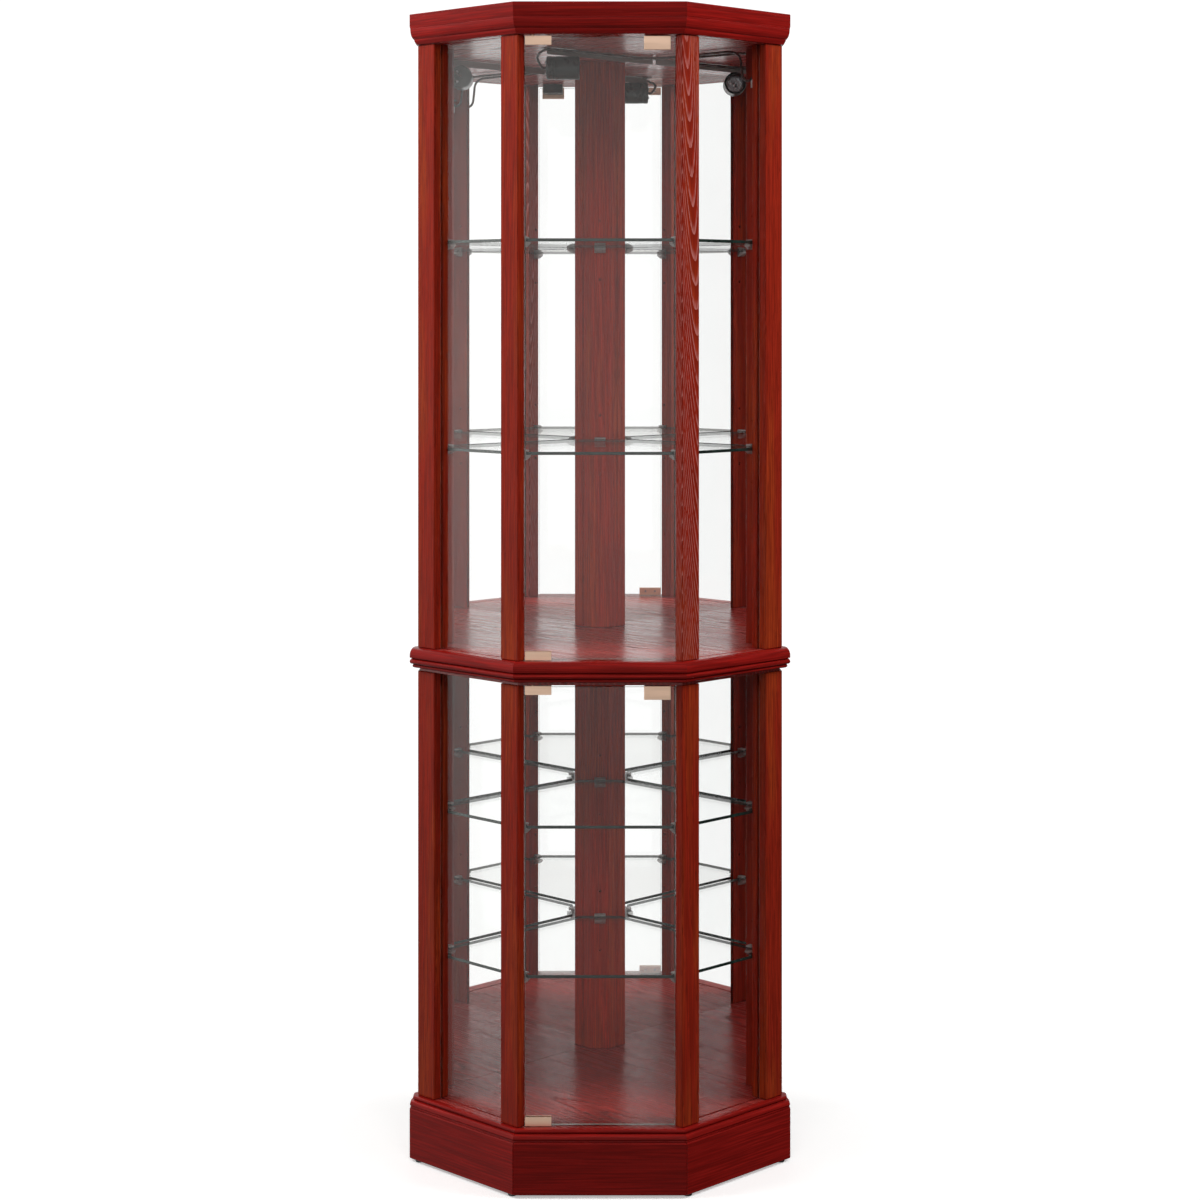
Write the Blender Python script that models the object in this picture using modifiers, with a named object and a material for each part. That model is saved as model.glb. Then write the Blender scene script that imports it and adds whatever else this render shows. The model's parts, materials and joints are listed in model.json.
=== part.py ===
"""Corner curio cabinet with two glass doors, mirrored back panels and glass shelves.

Frame: +Z up from the floor, the door front faces -Y, and the origin lies on the floor under the
middle of the cabinet's bounding box. Lengths are in metres.

Plan: a flat front, two side faces at 45 degrees to it, a short return at each outer end, and two
back faces that meet in a right angle, so the cabinet fills the corner of a room. Each half is laid
out in its own pair of axes: u runs along the 45 degree side face from its front mitre towards the
back, v runs inwards from that face. The back face stands at a constant u.
"""

import math

import bmesh
import bpy
from mathutils import Matrix, Vector

# ---------------------------------------------------------------- overall sizes
OVERALL_HEIGHT = 1.830
OVERALL_WIDTH = 0.608
FRONT_WIDTH = 0.266
RETURN_LENGTH = 0.012

# ---------------------------------------------------------------- heights
GLIDE_HEIGHT = 0.004
PLINTH_HEIGHT = 0.080
BASE_MOULDING_HEIGHT = 0.019
LOWER_OPENING_HEIGHT = 0.679
MID_BOARD_THICKNESS = 0.0367
WAIST_MOULDING_HEIGHT = 0.0316
CROWN_HEIGHT = 0.0485
CEILING_THICKNESS = 0.018
TOP_BOARD_THICKNESS = 0.015

# ---------------------------------------------------------------- woodwork
MOULDING_WIDTH = 0.016
PLINTH_THICKNESS = 0.020
FRONT_OVERHANG = 0.013
SIDE_OVERHANG = 0.014
POST_WIDTH = 0.039
POST_THICKNESS = 0.030
POST_DOOR_BEVEL = 0.0134
STILE_WIDTH = 0.076
STILE_THICKNESS = 0.015
CENTRE_POST_CHAMFER = 0.0308
CENTRE_POST_PROJECTION = 0.0194
EDGE_ROUNDING = 0.0012
SHORTEST_EASED_EDGE = 0.010
GLIDE_DIAMETER = 0.014
GLIDE_INSET = 0.012

# ---------------------------------------------------------------- glass
SIDE_GLASS_THICKNESS = 0.004
SIDE_GLASS_SETBACK = 0.0174
DOOR_GLASS_THICKNESS = 0.005
DOOR_GLASS_SETBACK = 0.0227
DOOR_SIDE_GAP = 0.0019
DOOR_BOTTOM_GAP = 0.0022
DOOR_TOP_GAP = 0.0033
SHELF_THICKNESS = 0.005
SHELF_CLEARANCE = 0.004
SHELF_FRONT_GAP = 0.0143
MIRROR_THICKNESS = 0.008
MIRROR_SETBACK = 0.0106
GROOVE_DEPTH = 0.0065
REBATE_DEPTH = 0.008
PANEL_ENTRY_CLEARANCE = 0.0008

# ---------------------------------------------------------------- shelf heights over each floor
LOWER_SHELF_HEIGHTS = (0.2225, 0.4535)
UPPER_SHELF_HEIGHTS = (0.3153, 0.6453)

# ---------------------------------------------------------------- door furniture
CAP_LENGTH = 0.0405
CAP_HEIGHT = 0.0134
CAP_PLATE = 0.002
CAP_WEB = 0.001
CAP_OVERHANG = 0.0004
STRIKE_LENGTH = 0.041
STRIKE_HEIGHT = 0.021
STRIKE_INSET = 0.006
PIVOT_INSET = 0.0111
PIVOT_PIN_DIAMETER = 0.004
PIVOT_PIN_ENTRY = 0.006
BORE_END_CLEARANCE = 0.001
LATCH_WIDTH = 0.036
LATCH_DEPTH = 0.046
LATCH_HEIGHT = 0.016
LATCH_STANDOFF = 0.006
PLUNGER_DIAMETER = 0.010
PLUNGER_LENGTH = 0.030
PLUNGER_TRAVEL = 0.003
PLUNGER_TIP_GAP = 0.0004

# ---------------------------------------------------------------- lamp
HOLDER_DIAMETER = 0.038
HOLDER_LENGTH = 0.054
HOLDER_WALL = 0.0025
HOLDER_FLOOR = 0.012
HOLDER_ALONG_BRACKET = 0.041
HOLDER_ASIDE = 0.0057
BRACKET_LENGTH = 0.245
BRACKET_HEIGHT = 0.011
BRACKET_THICKNESS = 0.0015
BRACKET_CORNER_OFFSET = 0.1394
BRACKET_MIRROR_GAP = 0.0041
LEAD_DIAMETER = 0.004
LEAD_HOLE_DIAMETER = 0.007
LEAD_DROP = 0.002
LEAD_CLEARANCE = 0.004
LEAD_LOOP_WIDTH = 0.030
LEAD_EXIT_DROP = 0.042
LEAD_EXIT_V = 0.060
LEAD_SAG = 0.012
LEAD_STRAIGHT = 0.006
LEAD_MIRROR_CLEARANCE = 0.016
LEAD_STILE_CLEARANCE = 0.010
LEAD_RISE = (-0.016, 0.011, -0.012)
LEAD_CREST = (-0.004, -0.012, -0.002)

# ---------------------------------------------------------------- fits
GAP = 0.0003
PIN_CLEARANCE = 0.0003
CUT_OVERRUN = 0.01
MERGE_DISTANCE = 0.00005
ROUND_SIDES = 24
PIN_SIDES = 16

# ---------------------------------------------------------------- derived plan
ROOT2 = math.sqrt(2.0)
MITRE_ANGLE = math.radians(22.5)
HALF_WIDTH = OVERALL_WIDTH / 2
HALF_FRONT = FRONT_WIDTH / 2
SIDE_RUN = HALF_WIDTH - HALF_FRONT
DEPTH = SIDE_RUN + RETURN_LENGTH + HALF_WIDTH
U_BACK = SIDE_RUN * ROOT2 + RETURN_LENGTH / ROOT2
V_APEX = (DEPTH + HALF_FRONT) / ROOT2
U_MIRROR = U_BACK - MIRROR_SETBACK
V_GLASS = SIDE_OVERHANG + SIDE_GLASS_SETBACK
POST_RETURN_X = HALF_WIDTH - FRONT_OVERHANG
BRACKET_START_U = U_MIRROR - BRACKET_MIRROR_GAP - BRACKET_LENGTH
BRACKET_V = V_APEX - BRACKET_CORNER_OFFSET

# ---------------------------------------------------------------- derived heights
Z_PLINTH = GLIDE_HEIGHT
Z_BASE_MOULDING = Z_PLINTH + PLINTH_HEIGHT
Z_LOWER_FLOOR = Z_BASE_MOULDING + BASE_MOULDING_HEIGHT
Z_LOWER_CEILING = Z_LOWER_FLOOR + LOWER_OPENING_HEIGHT
Z_UPPER_FLOOR = Z_LOWER_CEILING + MID_BOARD_THICKNESS
Z_WAIST_MOULDING = Z_UPPER_FLOOR - WAIST_MOULDING_HEIGHT
Z_UPPER_CEILING = OVERALL_HEIGHT - CROWN_HEIGHT
COMPARTMENTS = {
    "lower": (Z_LOWER_FLOOR, Z_LOWER_CEILING, LOWER_SHELF_HEIGHTS),
    "upper": (Z_UPPER_FLOOR, Z_UPPER_CEILING, UPPER_SHELF_HEIGHTS),
}
FLOOR_BOARDS = {"lower": "lower_floor_board", "upper": "mid_board"}
CEILING_BOARDS = {"lower": "mid_board", "upper": "ceiling_board"}
SIDES = {"left": -1, "right": 1}

# ---------------------------------------------------------------- derived door and latch places
POST_DOOR_FACE_X = HALF_FRONT + (FRONT_OVERHANG - SIDE_OVERHANG * ROOT2) - POST_DOOR_BEVEL / ROOT2
DOOR_HALF_WIDTH = POST_DOOR_FACE_X - DOOR_SIDE_GAP
DOOR_MID_DEPTH = DOOR_GLASS_SETBACK + DOOR_GLASS_THICKNESS / 2
PIVOT_X = -DOOR_HALF_WIDTH + PIVOT_INSET
CAP_THICKNESS = DOOR_GLASS_THICKNESS + 2 * (GAP + CAP_PLATE)
STRIKE_X = DOOR_HALF_WIDTH - STRIKE_INSET - STRIKE_LENGTH / 2
STRIKE_BACK_DEPTH = DOOR_MID_DEPTH + CAP_THICKNESS / 2
LATCH_FRONT_DEPTH = STRIKE_BACK_DEPTH + LATCH_STANDOFF


# ================================================================ plan helpers
def plan(side, u, v):
    """Model position of the point u along and v inwards from one half's side face."""
    across = side * (HALF_FRONT + (u - v) / ROOT2)
    depth = (u + v) / ROOT2
    return across, depth - DEPTH / 2


def u_at_x(across, v):
    """The u where a line of constant v reaches a given distance from the middle plane."""
    return (across - HALF_FRONT) * ROOT2 + v


def u_at_depth(depth, v):
    """The u where a line of constant v reaches a given depth behind the front."""
    return depth * ROOT2 - v


def v_at_x(across, u):
    """The v where a line of constant u reaches a given distance from the middle plane."""
    return u - (across - HALF_FRONT) * ROOT2


def half_outline(side, points):
    """Plan points of one half from its (u, v) pairs."""
    return [plan(side, u, v) for u, v in points]


def mirrored(points):
    """An outline over both halves from the right-hand points, listed front to back."""
    left = [(-x, y) for x, y in reversed(points) if abs(x) > MERGE_DISTANCE]
    return points + left


# ================================================================ scene helpers
def clear_scene():
    """Start from an empty scene."""
    for obj in list(bpy.data.objects):
        bpy.data.objects.remove(obj, do_unlink=True)


def new_collection(name):
    """A collection of its own under the scene."""
    group = bpy.data.collections.new(name)
    bpy.context.scene.collection.children.link(group)
    return group


def material(name, colour, roughness, metallic=0.0, alpha=1.0):
    """A Principled material of one finish."""
    finish = bpy.data.materials.new(name)
    finish.use_nodes = True
    shader = finish.node_tree.nodes["Principled BSDF"]
    shader.inputs["Base Color"].default_value = (*colour, 1.0)
    shader.inputs["Roughness"].default_value = roughness
    shader.inputs["Metallic"].default_value = metallic
    shader.inputs["Alpha"].default_value = alpha
    return finish


def move_to(obj, group):
    """Keep an object in one collection only."""
    for holder in list(obj.users_collection):
        holder.objects.unlink(obj)
    group.objects.link(obj)


def mesh_object(name, mesh, group, finish=None):
    """A named object for a mesh, with its finish."""
    obj = bpy.data.objects.new(name, mesh)
    mesh.name = name
    group.objects.link(obj)
    if finish:
        mesh.materials.clear()
        mesh.materials.append(finish)
    return obj


def mesh_from_curve(curve_obj):
    """Turn a curve object into a welded mesh whose flat faces are whole, and remove the curve."""
    depsgraph = bpy.context.evaluated_depsgraph_get()
    mesh = bpy.data.meshes.new_from_object(curve_obj.evaluated_get(depsgraph))
    bm = bmesh.new()
    bm.from_mesh(mesh)
    bmesh.ops.remove_doubles(bm, verts=bm.verts, dist=MERGE_DISTANCE)
    bmesh.ops.dissolve_limit(bm, angle_limit=math.radians(0.5), verts=bm.verts, edges=bm.edges)
    bmesh.ops.recalc_face_normals(bm, faces=bm.faces)
    bm.to_mesh(mesh)
    bm.free()
    bpy.data.objects.remove(curve_obj, do_unlink=True)
    return mesh


def prism(name, outline, thickness, group, finish=None):
    """A flat outline drawn as a 2D curve and given a thickness both ways from its plane."""
    curve = bpy.data.curves.new(name, "CURVE")
    curve.dimensions = "2D"
    curve.fill_mode = "BOTH"
    curve.extrude = thickness / 2
    spline = curve.splines.new("POLY")
    spline.points.add(len(outline) - 1)
    for point, (x, y) in zip(spline.points, outline):
        point.co = (x, y, 0.0, 1.0)
    spline.use_cyclic_u = True
    curve_obj = bpy.data.objects.new(name, curve)
    bpy.context.scene.collection.objects.link(curve_obj)
    return mesh_object(name, mesh_from_curve(curve_obj), group, finish)


def standing_prism(name, outline, z_low, z_high, group, finish=None):
    """A plan outline that stands between two heights."""
    obj = prism(name, outline, z_high - z_low, group, finish)
    obj.location.z = (z_low + z_high) / 2
    return obj


def block(name, size, centre, group, finish=None, turn=0.0):
    """A rectangular block, turned about Z."""
    bpy.ops.mesh.primitive_cube_add(size=1.0)
    obj = bpy.context.active_object
    obj.name = name
    obj.data.name = name
    obj.data.transform(Matrix.Diagonal((*size, 1.0)))
    obj.location = centre
    obj.rotation_euler.z = turn
    move_to(obj, group)
    if finish:
        obj.data.materials.append(finish)
    return obj


def rod(name, diameter, length, centre, direction, group, finish=None, sides=ROUND_SIDES):
    """A round bar along a direction, centred on a point."""
    bpy.ops.mesh.primitive_cylinder_add(vertices=sides, radius=diameter / 2, depth=length)
    obj = bpy.context.active_object
    obj.name = name
    obj.data.name = name
    turn = Vector((0, 0, 1)).rotation_difference(Vector(direction))
    obj.data.transform(turn.to_matrix().to_4x4())
    obj.location = centre
    move_to(obj, group)
    if finish:
        obj.data.materials.append(finish)
    return obj


def boolean(obj, tool, operation):
    """Cut a tool out of an object, or join it on."""
    tool.hide_render = True
    tool.display_type = "WIRE"
    step = obj.modifiers.new(tool.name, "BOOLEAN")
    step.operation = operation
    step.object = tool


def round_edges(obj, width=EDGE_ROUNDING, segments=1):
    """Ease the outer edges of a piece, and leave the inner edges of its grooves sharp."""
    bm = bmesh.new()
    bm.from_mesh(obj.data)
    weight = bm.edges.layers.float.new("bevel_weight_edge")
    for edge in bm.edges:
        if edge.is_convex and edge.calc_length() > SHORTEST_EASED_EDGE:
            edge[weight] = 1.0
    bm.to_mesh(obj.data)
    bm.free()
    step = obj.modifiers.new("eased_edges", "BEVEL")
    step.width = width
    step.segments = segments
    step.limit_method = "WEIGHT"


def smooth(obj, angle=40):
    """Shade a round piece smooth, with its real edges kept sharp."""
    obj.data.shade_smooth()
    obj.data.set_sharp_from_angle(angle=math.radians(angle))


# ================================================================ woodwork
def arc(centre, radii, start, end, steps):
    """Points of a quarter round or bead in the profile plane, from one angle to another."""
    points = []
    for index in range(steps + 1):
        angle = math.radians(start + (end - start) * index / steps)
        out = centre[0] + radii[0] * math.cos(angle)
        height = centre[1] + radii[1] * math.sin(angle)
        points.append((out, height))
    return points


def base_profile():
    """Base moulding: a cavetto step, a broad ovolo and a small bead under the posts."""
    top = BASE_MOULDING_HEIGHT
    bead_low = top - 0.0052
    bead_half = (top - bead_low) / 2
    points = [(-MOULDING_WIDTH, GAP), (-0.0020, GAP), (-0.0018, 0.0020), (-0.0006, 0.0036)]
    points += arc((-0.0062, 0.0060), (0.0062, 0.0070), 0, 90, 6)
    points += [(-0.0076, 0.0130), (-0.0076, bead_low)]
    points += arc((-0.0076, bead_low + bead_half), (0.0024, bead_half), -70, 90, 6)
    points += [(-MOULDING_WIDTH, top)]
    return points


def waist_profile():
    """Waist moulding: a bead below, a torus, a V groove and a broad ovolo on top."""
    top = WAIST_MOULDING_HEIGHT
    ovolo = 0.0118
    points = [(-MOULDING_WIDTH, 0.0), (-0.0080, 0.0), (-0.0066, 0.0006)]
    points += arc((-0.0080, 0.0036), (0.0032, 0.0020), -30, 60, 3)
    points += [(-0.0056, 0.0062)]
    points += arc((-0.0036, 0.0102), (0.0036, 0.0038), -80, 60, 5)
    points += [(-0.0036, 0.0148)]
    points += arc((-0.0062, top - ovolo), (0.0062, ovolo), -20, 90, 7)
    points += [(-MOULDING_WIDTH, top)]
    return points


def crown_profile():
    """Crown moulding: a cove under an ovolo, a fine step and a plain fascia."""
    top = CROWN_HEIGHT
    points = [(-MOULDING_WIDTH, GAP), (-0.0108, GAP), (-0.0104, 0.0014), (-0.0082, 0.0046)]
    points += [(-0.0070, 0.0078), (-0.0070, 0.0090)]
    points += arc((-0.0070, 0.0254), (0.0060, 0.0158), -68, 0, 6)
    points += [(-0.0003, 0.0266), (-0.0003, 0.0284), (0.0, top)]
    points += [(-MOULDING_WIDTH, top)]
    return points


def moulding(name, profile, path, z_low, group, finish):
    """A profile extruded along each stretch of its path, the ends slid onto the mitre planes.

    path holds plan points from end to end with one extra point before and after, which give the
    direction of the neighbouring strip and so the mitre. The profile's first value is its distance
    outwards from the path, and the second is its height.
    """
    bm = bmesh.new()
    stretches = [(Vector(b) - Vector(a)).normalized() for a, b in zip(path, path[1:])]
    first = stretches[1]
    outward = Vector((first.y, -first.x))
    ring = []
    for out, height in profile:
        place = Vector(path[1]) + outward * out
        ring.append(bm.verts.new((place.x, place.y, z_low + height)))
    face = bm.faces.new(ring)
    slide_to_mitre(ring, path[1], stretches[0], stretches[1], stretches[1])
    for index in range(1, len(stretches) - 1):
        grown = bmesh.ops.extrude_face_region(bm, geom=[face])["geom"]
        if index > 1:
            bmesh.ops.delete(bm, geom=[face], context="FACES_ONLY")
        face = [item for item in grown if isinstance(item, bmesh.types.BMFace)][0]
        slide_to_mitre(face.verts, path[index + 1], stretches[index], stretches[index + 1],
                       stretches[index])
    bmesh.ops.recalc_face_normals(bm, faces=bm.faces)
    mesh = bpy.data.meshes.new(name)
    bm.to_mesh(mesh)
    bm.free()
    return mesh_object(name, mesh, group, finish)


def slide_to_mitre(verts, corner, before, after, along):
    """Slide points along a stretch onto the plane that halves the corner between two stretches."""
    normal = (before + after).normalized()
    for vert in verts:
        offset = Vector(corner) - vert.co.xy
        travel = offset.dot(normal) / along.dot(normal)
        vert.co.xy += along * travel


def moulding_paths():
    """Path of the front, left and right strips, each pulled back by the gap at its mitres."""
    pull = GAP / 2
    front_y = -DEPTH / 2
    paths = {
        "front": [plan(-1, U_BACK, 0.0), (-HALF_FRONT + pull, front_y),
                  (HALF_FRONT - pull, front_y), plan(1, U_BACK, 0.0)],
    }
    for label, side in SIDES.items():
        start = plan(side, pull, 0.0)
        outer = plan(side, SIDE_RUN * ROOT2, 0.0)
        end = (side * HALF_WIDTH, outer[1] + RETURN_LENGTH)
        beyond_start = (-side * HALF_FRONT, start[1])
        # the strip ends on the back face, so the next stretch mirrors the return about that face
        beyond_end = (end[0] + side * RETURN_LENGTH, end[1])
        paths[label] = [beyond_start, start, outer, end, beyond_end]
        if side < 0:
            paths[label].reverse()
    return paths


def build_mouldings(group, finish):
    """Three mitred strips at each of the three levels."""
    paths = moulding_paths()
    levels = {
        "base": (base_profile(), Z_BASE_MOULDING),
        "waist": (waist_profile(), Z_WAIST_MOULDING),
        "crown": (crown_profile(), Z_UPPER_CEILING),
    }
    for level, (profile, z_low) in levels.items():
        for label, path in paths.items():
            obj = moulding(f"{level}_moulding_{label}", profile, path, z_low, group, finish)
            smooth(obj)


def build_plinth(group, finish):
    """A mitred board under each visible face and two rails along the wall."""
    z_low = Z_PLINTH + GAP
    z_high = Z_BASE_MOULDING
    inner_u = u_at_depth(PLINTH_THICKNESS, PLINTH_THICKNESS)
    pull = GAP / 2
    outer_x = HALF_FRONT - pull
    inner_x = outer_x - PLINTH_THICKNESS * math.tan(MITRE_ANGLE)
    front = [(outer_x, -DEPTH / 2), (inner_x, PLINTH_THICKNESS - DEPTH / 2)]
    obj = standing_prism("plinth_front", mirrored(front), z_low, z_high, group, finish)
    round_edges(obj)
    for label, side in SIDES.items():
        board = [(pull, 0.0), (SIDE_RUN * ROOT2, 0.0), (U_BACK, RETURN_LENGTH / ROOT2),
                 (U_BACK, PLINTH_THICKNESS), (inner_u + pull, PLINTH_THICKNESS)]
        obj = standing_prism(f"plinth_{label}", half_outline(side, board), z_low, z_high,
                             group, finish)
        round_edges(obj)
        inner = U_BACK - PLINTH_THICKNESS
        rail = [(U_BACK, PLINTH_THICKNESS + GAP), (U_BACK, v_at_x(pull, U_BACK)),
                (inner, v_at_x(pull, inner)), (inner, PLINTH_THICKNESS + GAP)]
        obj = standing_prism(f"plinth_back_{label}", half_outline(side, rail), z_low, z_high,
                             group, finish)
        round_edges(obj)


def build_glides(group, finish):
    """A turned glide under each corner of the plinth."""
    middle = PLINTH_THICKNESS / 2
    places = {"rear": (0.0, DEPTH / 2 - middle * ROOT2)}
    for label, side in SIDES.items():
        places[f"front_{label}"] = plan(side, GLIDE_INSET, middle)
        places[f"outer_{label}"] = plan(side, U_BACK - GLIDE_INSET - middle, middle)
    for label, (x, y) in places.items():
        obj = rod(f"glide_{label}", GLIDE_DIAMETER, GLIDE_HEIGHT, (x, y, GLIDE_HEIGHT / 2),
                  (0, 0, 1), group, finish)
        smooth(obj)


def board_outline():
    """Plan of the horizontal boards, which the mouldings wrap on five faces."""
    inset = MOULDING_WIDTH + GAP
    right = [
        (u_at_depth(inset, inset), inset),
        (u_at_x(HALF_WIDTH - inset, inset), inset),
        (U_BACK, v_at_x(HALF_WIDTH - inset, U_BACK)),
        (U_BACK, V_APEX),
    ]
    return mirrored(half_outline(1, right))


def front_post_outline(side):
    """Bar with its face on the side of the cabinet, cut back square to the door on its door side."""
    start = u_at_depth(FRONT_OVERHANG, SIDE_OVERHANG)
    inner = SIDE_OVERHANG + POST_THICKNESS
    end = start + POST_WIDTH
    half_groove = SIDE_GLASS_THICKNESS / 2 + GAP
    bevel = SIDE_OVERHANG + POST_DOOR_BEVEL
    points = [
        (start, SIDE_OVERHANG),
        (end, SIDE_OVERHANG),
        (end, V_GLASS - half_groove),
        (end - GROOVE_DEPTH, V_GLASS - half_groove),
        (end - GROOVE_DEPTH, V_GLASS + half_groove),
        (end, V_GLASS + half_groove),
        (end, inner),
        (start + inner - bevel, inner),
        (start, bevel),
    ]
    return half_outline(side, points)


def corner_post_start():
    """The u of the front edge of the outer bar."""
    return u_at_x(POST_RETURN_X, SIDE_OVERHANG) - POST_WIDTH


def corner_post_outline(side):
    """Bar at the outer end of the side face, with the stile along the wall in one piece."""
    start = corner_post_start()
    inner = SIDE_OVERHANG + POST_THICKNESS
    half_groove = SIDE_GLASS_THICKNESS / 2 + GAP
    stile_end = SIDE_OVERHANG + STILE_WIDTH
    stile_face = U_BACK - STILE_THICKNESS
    rebate_face = U_MIRROR - GAP
    points = [
        (start, SIDE_OVERHANG),
        (u_at_x(POST_RETURN_X, SIDE_OVERHANG), SIDE_OVERHANG),
        (U_BACK, v_at_x(POST_RETURN_X, U_BACK)),
        (U_BACK, stile_end - REBATE_DEPTH),
        (rebate_face, stile_end - REBATE_DEPTH),
        (rebate_face, stile_end),
        (stile_face, stile_end),
        (stile_face, inner),
        (start, inner),
        (start, V_GLASS + half_groove),
        (start + GROOVE_DEPTH, V_GLASS + half_groove),
        (start + GROOVE_DEPTH, V_GLASS - half_groove),
        (start, V_GLASS - half_groove),
    ]
    return half_outline(side, points)


def centre_post_side():
    """The v of the centre post's face that stands on the mirror."""
    face = U_MIRROR - CENTRE_POST_PROJECTION
    return v_at_x(CENTRE_POST_CHAMFER / 2, face)


def centre_post_outline():
    """Square post in the back corner with its front edge chamfered flat towards the door."""
    face = U_MIRROR - CENTRE_POST_PROJECTION
    side_v = centre_post_side()
    rebate = side_v + REBATE_DEPTH
    right = [
        (face, side_v),
        (U_MIRROR - GAP, side_v),
        (U_MIRROR - GAP, rebate),
        (U_BACK, rebate),
        (U_BACK, V_APEX),
    ]
    return mirrored(half_outline(1, right))


def build_posts(group, finish):
    """Five posts in each compartment."""
    for level, (floor, ceiling, _) in COMPARTMENTS.items():
        z_low = floor + GAP
        z_high = ceiling - GAP
        for label, side in SIDES.items():
            obj = standing_prism(f"{level}_front_post_{label}", front_post_outline(side),
                                 z_low, z_high, group, finish)
            round_edges(obj)
            obj = standing_prism(f"{level}_corner_post_{label}", corner_post_outline(side),
                                 z_low, z_high, group, finish)
            round_edges(obj)
        obj = standing_prism(f"{level}_centre_post", centre_post_outline(),
                             z_low, z_high, group, finish)
        round_edges(obj)


def build_boards(group, finish):
    """Floor, middle, ceiling and top boards, as a name to object table."""
    outline = board_outline()
    spans = {
        "lower_floor_board": (Z_BASE_MOULDING + GAP, Z_LOWER_FLOOR),
        "mid_board": (Z_LOWER_CEILING, Z_UPPER_FLOOR),
        "ceiling_board": (Z_UPPER_CEILING, Z_UPPER_CEILING + CEILING_THICKNESS),
        "top_board": (OVERALL_HEIGHT - TOP_BOARD_THICKNESS, OVERALL_HEIGHT),
    }
    return {name: standing_prism(name, outline, low, high, group, finish)
            for name, (low, high) in spans.items()}


# ================================================================ glass and mirrors
def side_glass_span():
    """The u of both ends of a side glass, inside its grooves."""
    entry = GROOVE_DEPTH - PANEL_ENTRY_CLEARANCE
    front_post_end = u_at_depth(FRONT_OVERHANG, SIDE_OVERHANG) + POST_WIDTH
    return front_post_end - entry, corner_post_start() + entry


def mirror_span():
    """The v of both ends of a mirror panel, inside its rebates."""
    entry = REBATE_DEPTH - PANEL_ENTRY_CLEARANCE
    return SIDE_OVERHANG + STILE_WIDTH - entry, centre_post_side() + entry


def panel_block(name, side, u_span, v_span, z_span, group, finish=None):
    """A block whose plan is a rectangle in one half's own axes."""
    centre = plan(side, sum(u_span) / 2, sum(v_span) / 2)
    size = (u_span[1] - u_span[0], v_span[1] - v_span[0], z_span[1] - z_span[0])
    turn = math.radians(45) if side > 0 else math.radians(135)
    return block(name, size, (*centre, sum(z_span) / 2), group, finish, turn)


def build_panels(group, cutters, boards, glass, mirror):
    """Side glass and mirrors, and the grooves in the boards that hold their ends."""
    half_glass = SIDE_GLASS_THICKNESS / 2
    spans = {
        "side_glass": (side_glass_span(), (V_GLASS - half_glass, V_GLASS + half_glass), glass),
        "mirror": ((U_MIRROR, U_MIRROR + MIRROR_THICKNESS), mirror_span(), mirror),
    }
    entry = GROOVE_DEPTH - PANEL_ENTRY_CLEARANCE
    for level, (floor, ceiling, _) in COMPARTMENTS.items():
        for label, side in SIDES.items():
            for kind, (u_span, v_span, finish) in spans.items():
                name = f"{level}_{kind}_{label}"
                panel_block(name, side, u_span, v_span, (floor - entry, ceiling + entry),
                            group, finish)
                wide_u = (u_span[0] - GAP, u_span[1] + GAP)
                wide_v = (v_span[0] - GAP, v_span[1] + GAP)
                low = panel_block(f"{name}_floor_groove", side, wide_u, wide_v,
                                  (floor - GROOVE_DEPTH, floor + CUT_OVERRUN), cutters)
                high = panel_block(f"{name}_ceiling_groove", side, wide_u, wide_v,
                                   (ceiling - CUT_OVERRUN, ceiling + GROOVE_DEPTH), cutters)
                boolean(boards[FLOOR_BOARDS[level]], low, "DIFFERENCE")
                boolean(boards[CEILING_BOARDS[level]], high, "DIFFERENCE")


def shelf_outline():
    """Plan of a shelf: clear of the door, the posts and the mirrors on every side."""
    front = DOOR_GLASS_SETBACK + DOOR_GLASS_THICKNESS + SHELF_FRONT_GAP
    side_v = V_GLASS + SIDE_GLASS_THICKNESS / 2 + SHELF_CLEARANCE
    post_v = SIDE_OVERHANG + POST_THICKNESS + SHELF_CLEARANCE
    front_post_end = u_at_depth(FRONT_OVERHANG, SIDE_OVERHANG) + POST_WIDTH + SHELF_CLEARANCE
    corner_post = corner_post_start() - SHELF_CLEARANCE
    back_u = U_BACK - STILE_THICKNESS - SHELF_CLEARANCE
    post_face = centre_post_face_depth() - SHELF_CLEARANCE
    right = [
        (u_at_depth(front, v_at_depth_on_door_line(front)), v_at_depth_on_door_line(front)),
        (post_inner_u(post_v), post_v),
        (front_post_end, post_v),
        (front_post_end, side_v),
        (corner_post, side_v),
        (corner_post, post_v),
        (back_u, post_v),
        (back_u, v_at_depth(post_face, back_u)),
    ]
    return mirrored(half_outline(1, right))


def v_at_depth_on_door_line(depth):
    """The v at a given depth on the line just inside the front post's door face."""
    across = POST_DOOR_FACE_X - SHELF_CLEARANCE
    return (depth - (across - HALF_FRONT)) / ROOT2


def post_inner_u(v):
    """The u where the line just inside the front post's door face reaches a given v."""
    return u_at_x(POST_DOOR_FACE_X - SHELF_CLEARANCE, v)


def v_at_depth(depth, u):
    """The v where a line of constant u reaches a given depth behind the front."""
    return depth * ROOT2 - u


def centre_post_face_depth():
    """Depth of the centre post's chamfer behind the front."""
    face = U_MIRROR - CENTRE_POST_PROJECTION
    return (face + centre_post_side()) / ROOT2


def build_shelves(group, finish):
    """The glass shelves, each resting on its supports at its own height over the floor."""
    outline = shelf_outline()
    for level, (floor, _, heights) in COMPARTMENTS.items():
        for number, height in enumerate(heights, start=1):
            standing_prism(f"{level}_shelf_{number}", outline, floor + height,
                           floor + height + SHELF_THICKNESS, group, finish)


# ================================================================ doors
def door_span(floor, ceiling):
    """Bottom and top of a door's glass."""
    return floor + DOOR_BOTTOM_GAP, ceiling - DOOR_TOP_GAP


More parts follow.
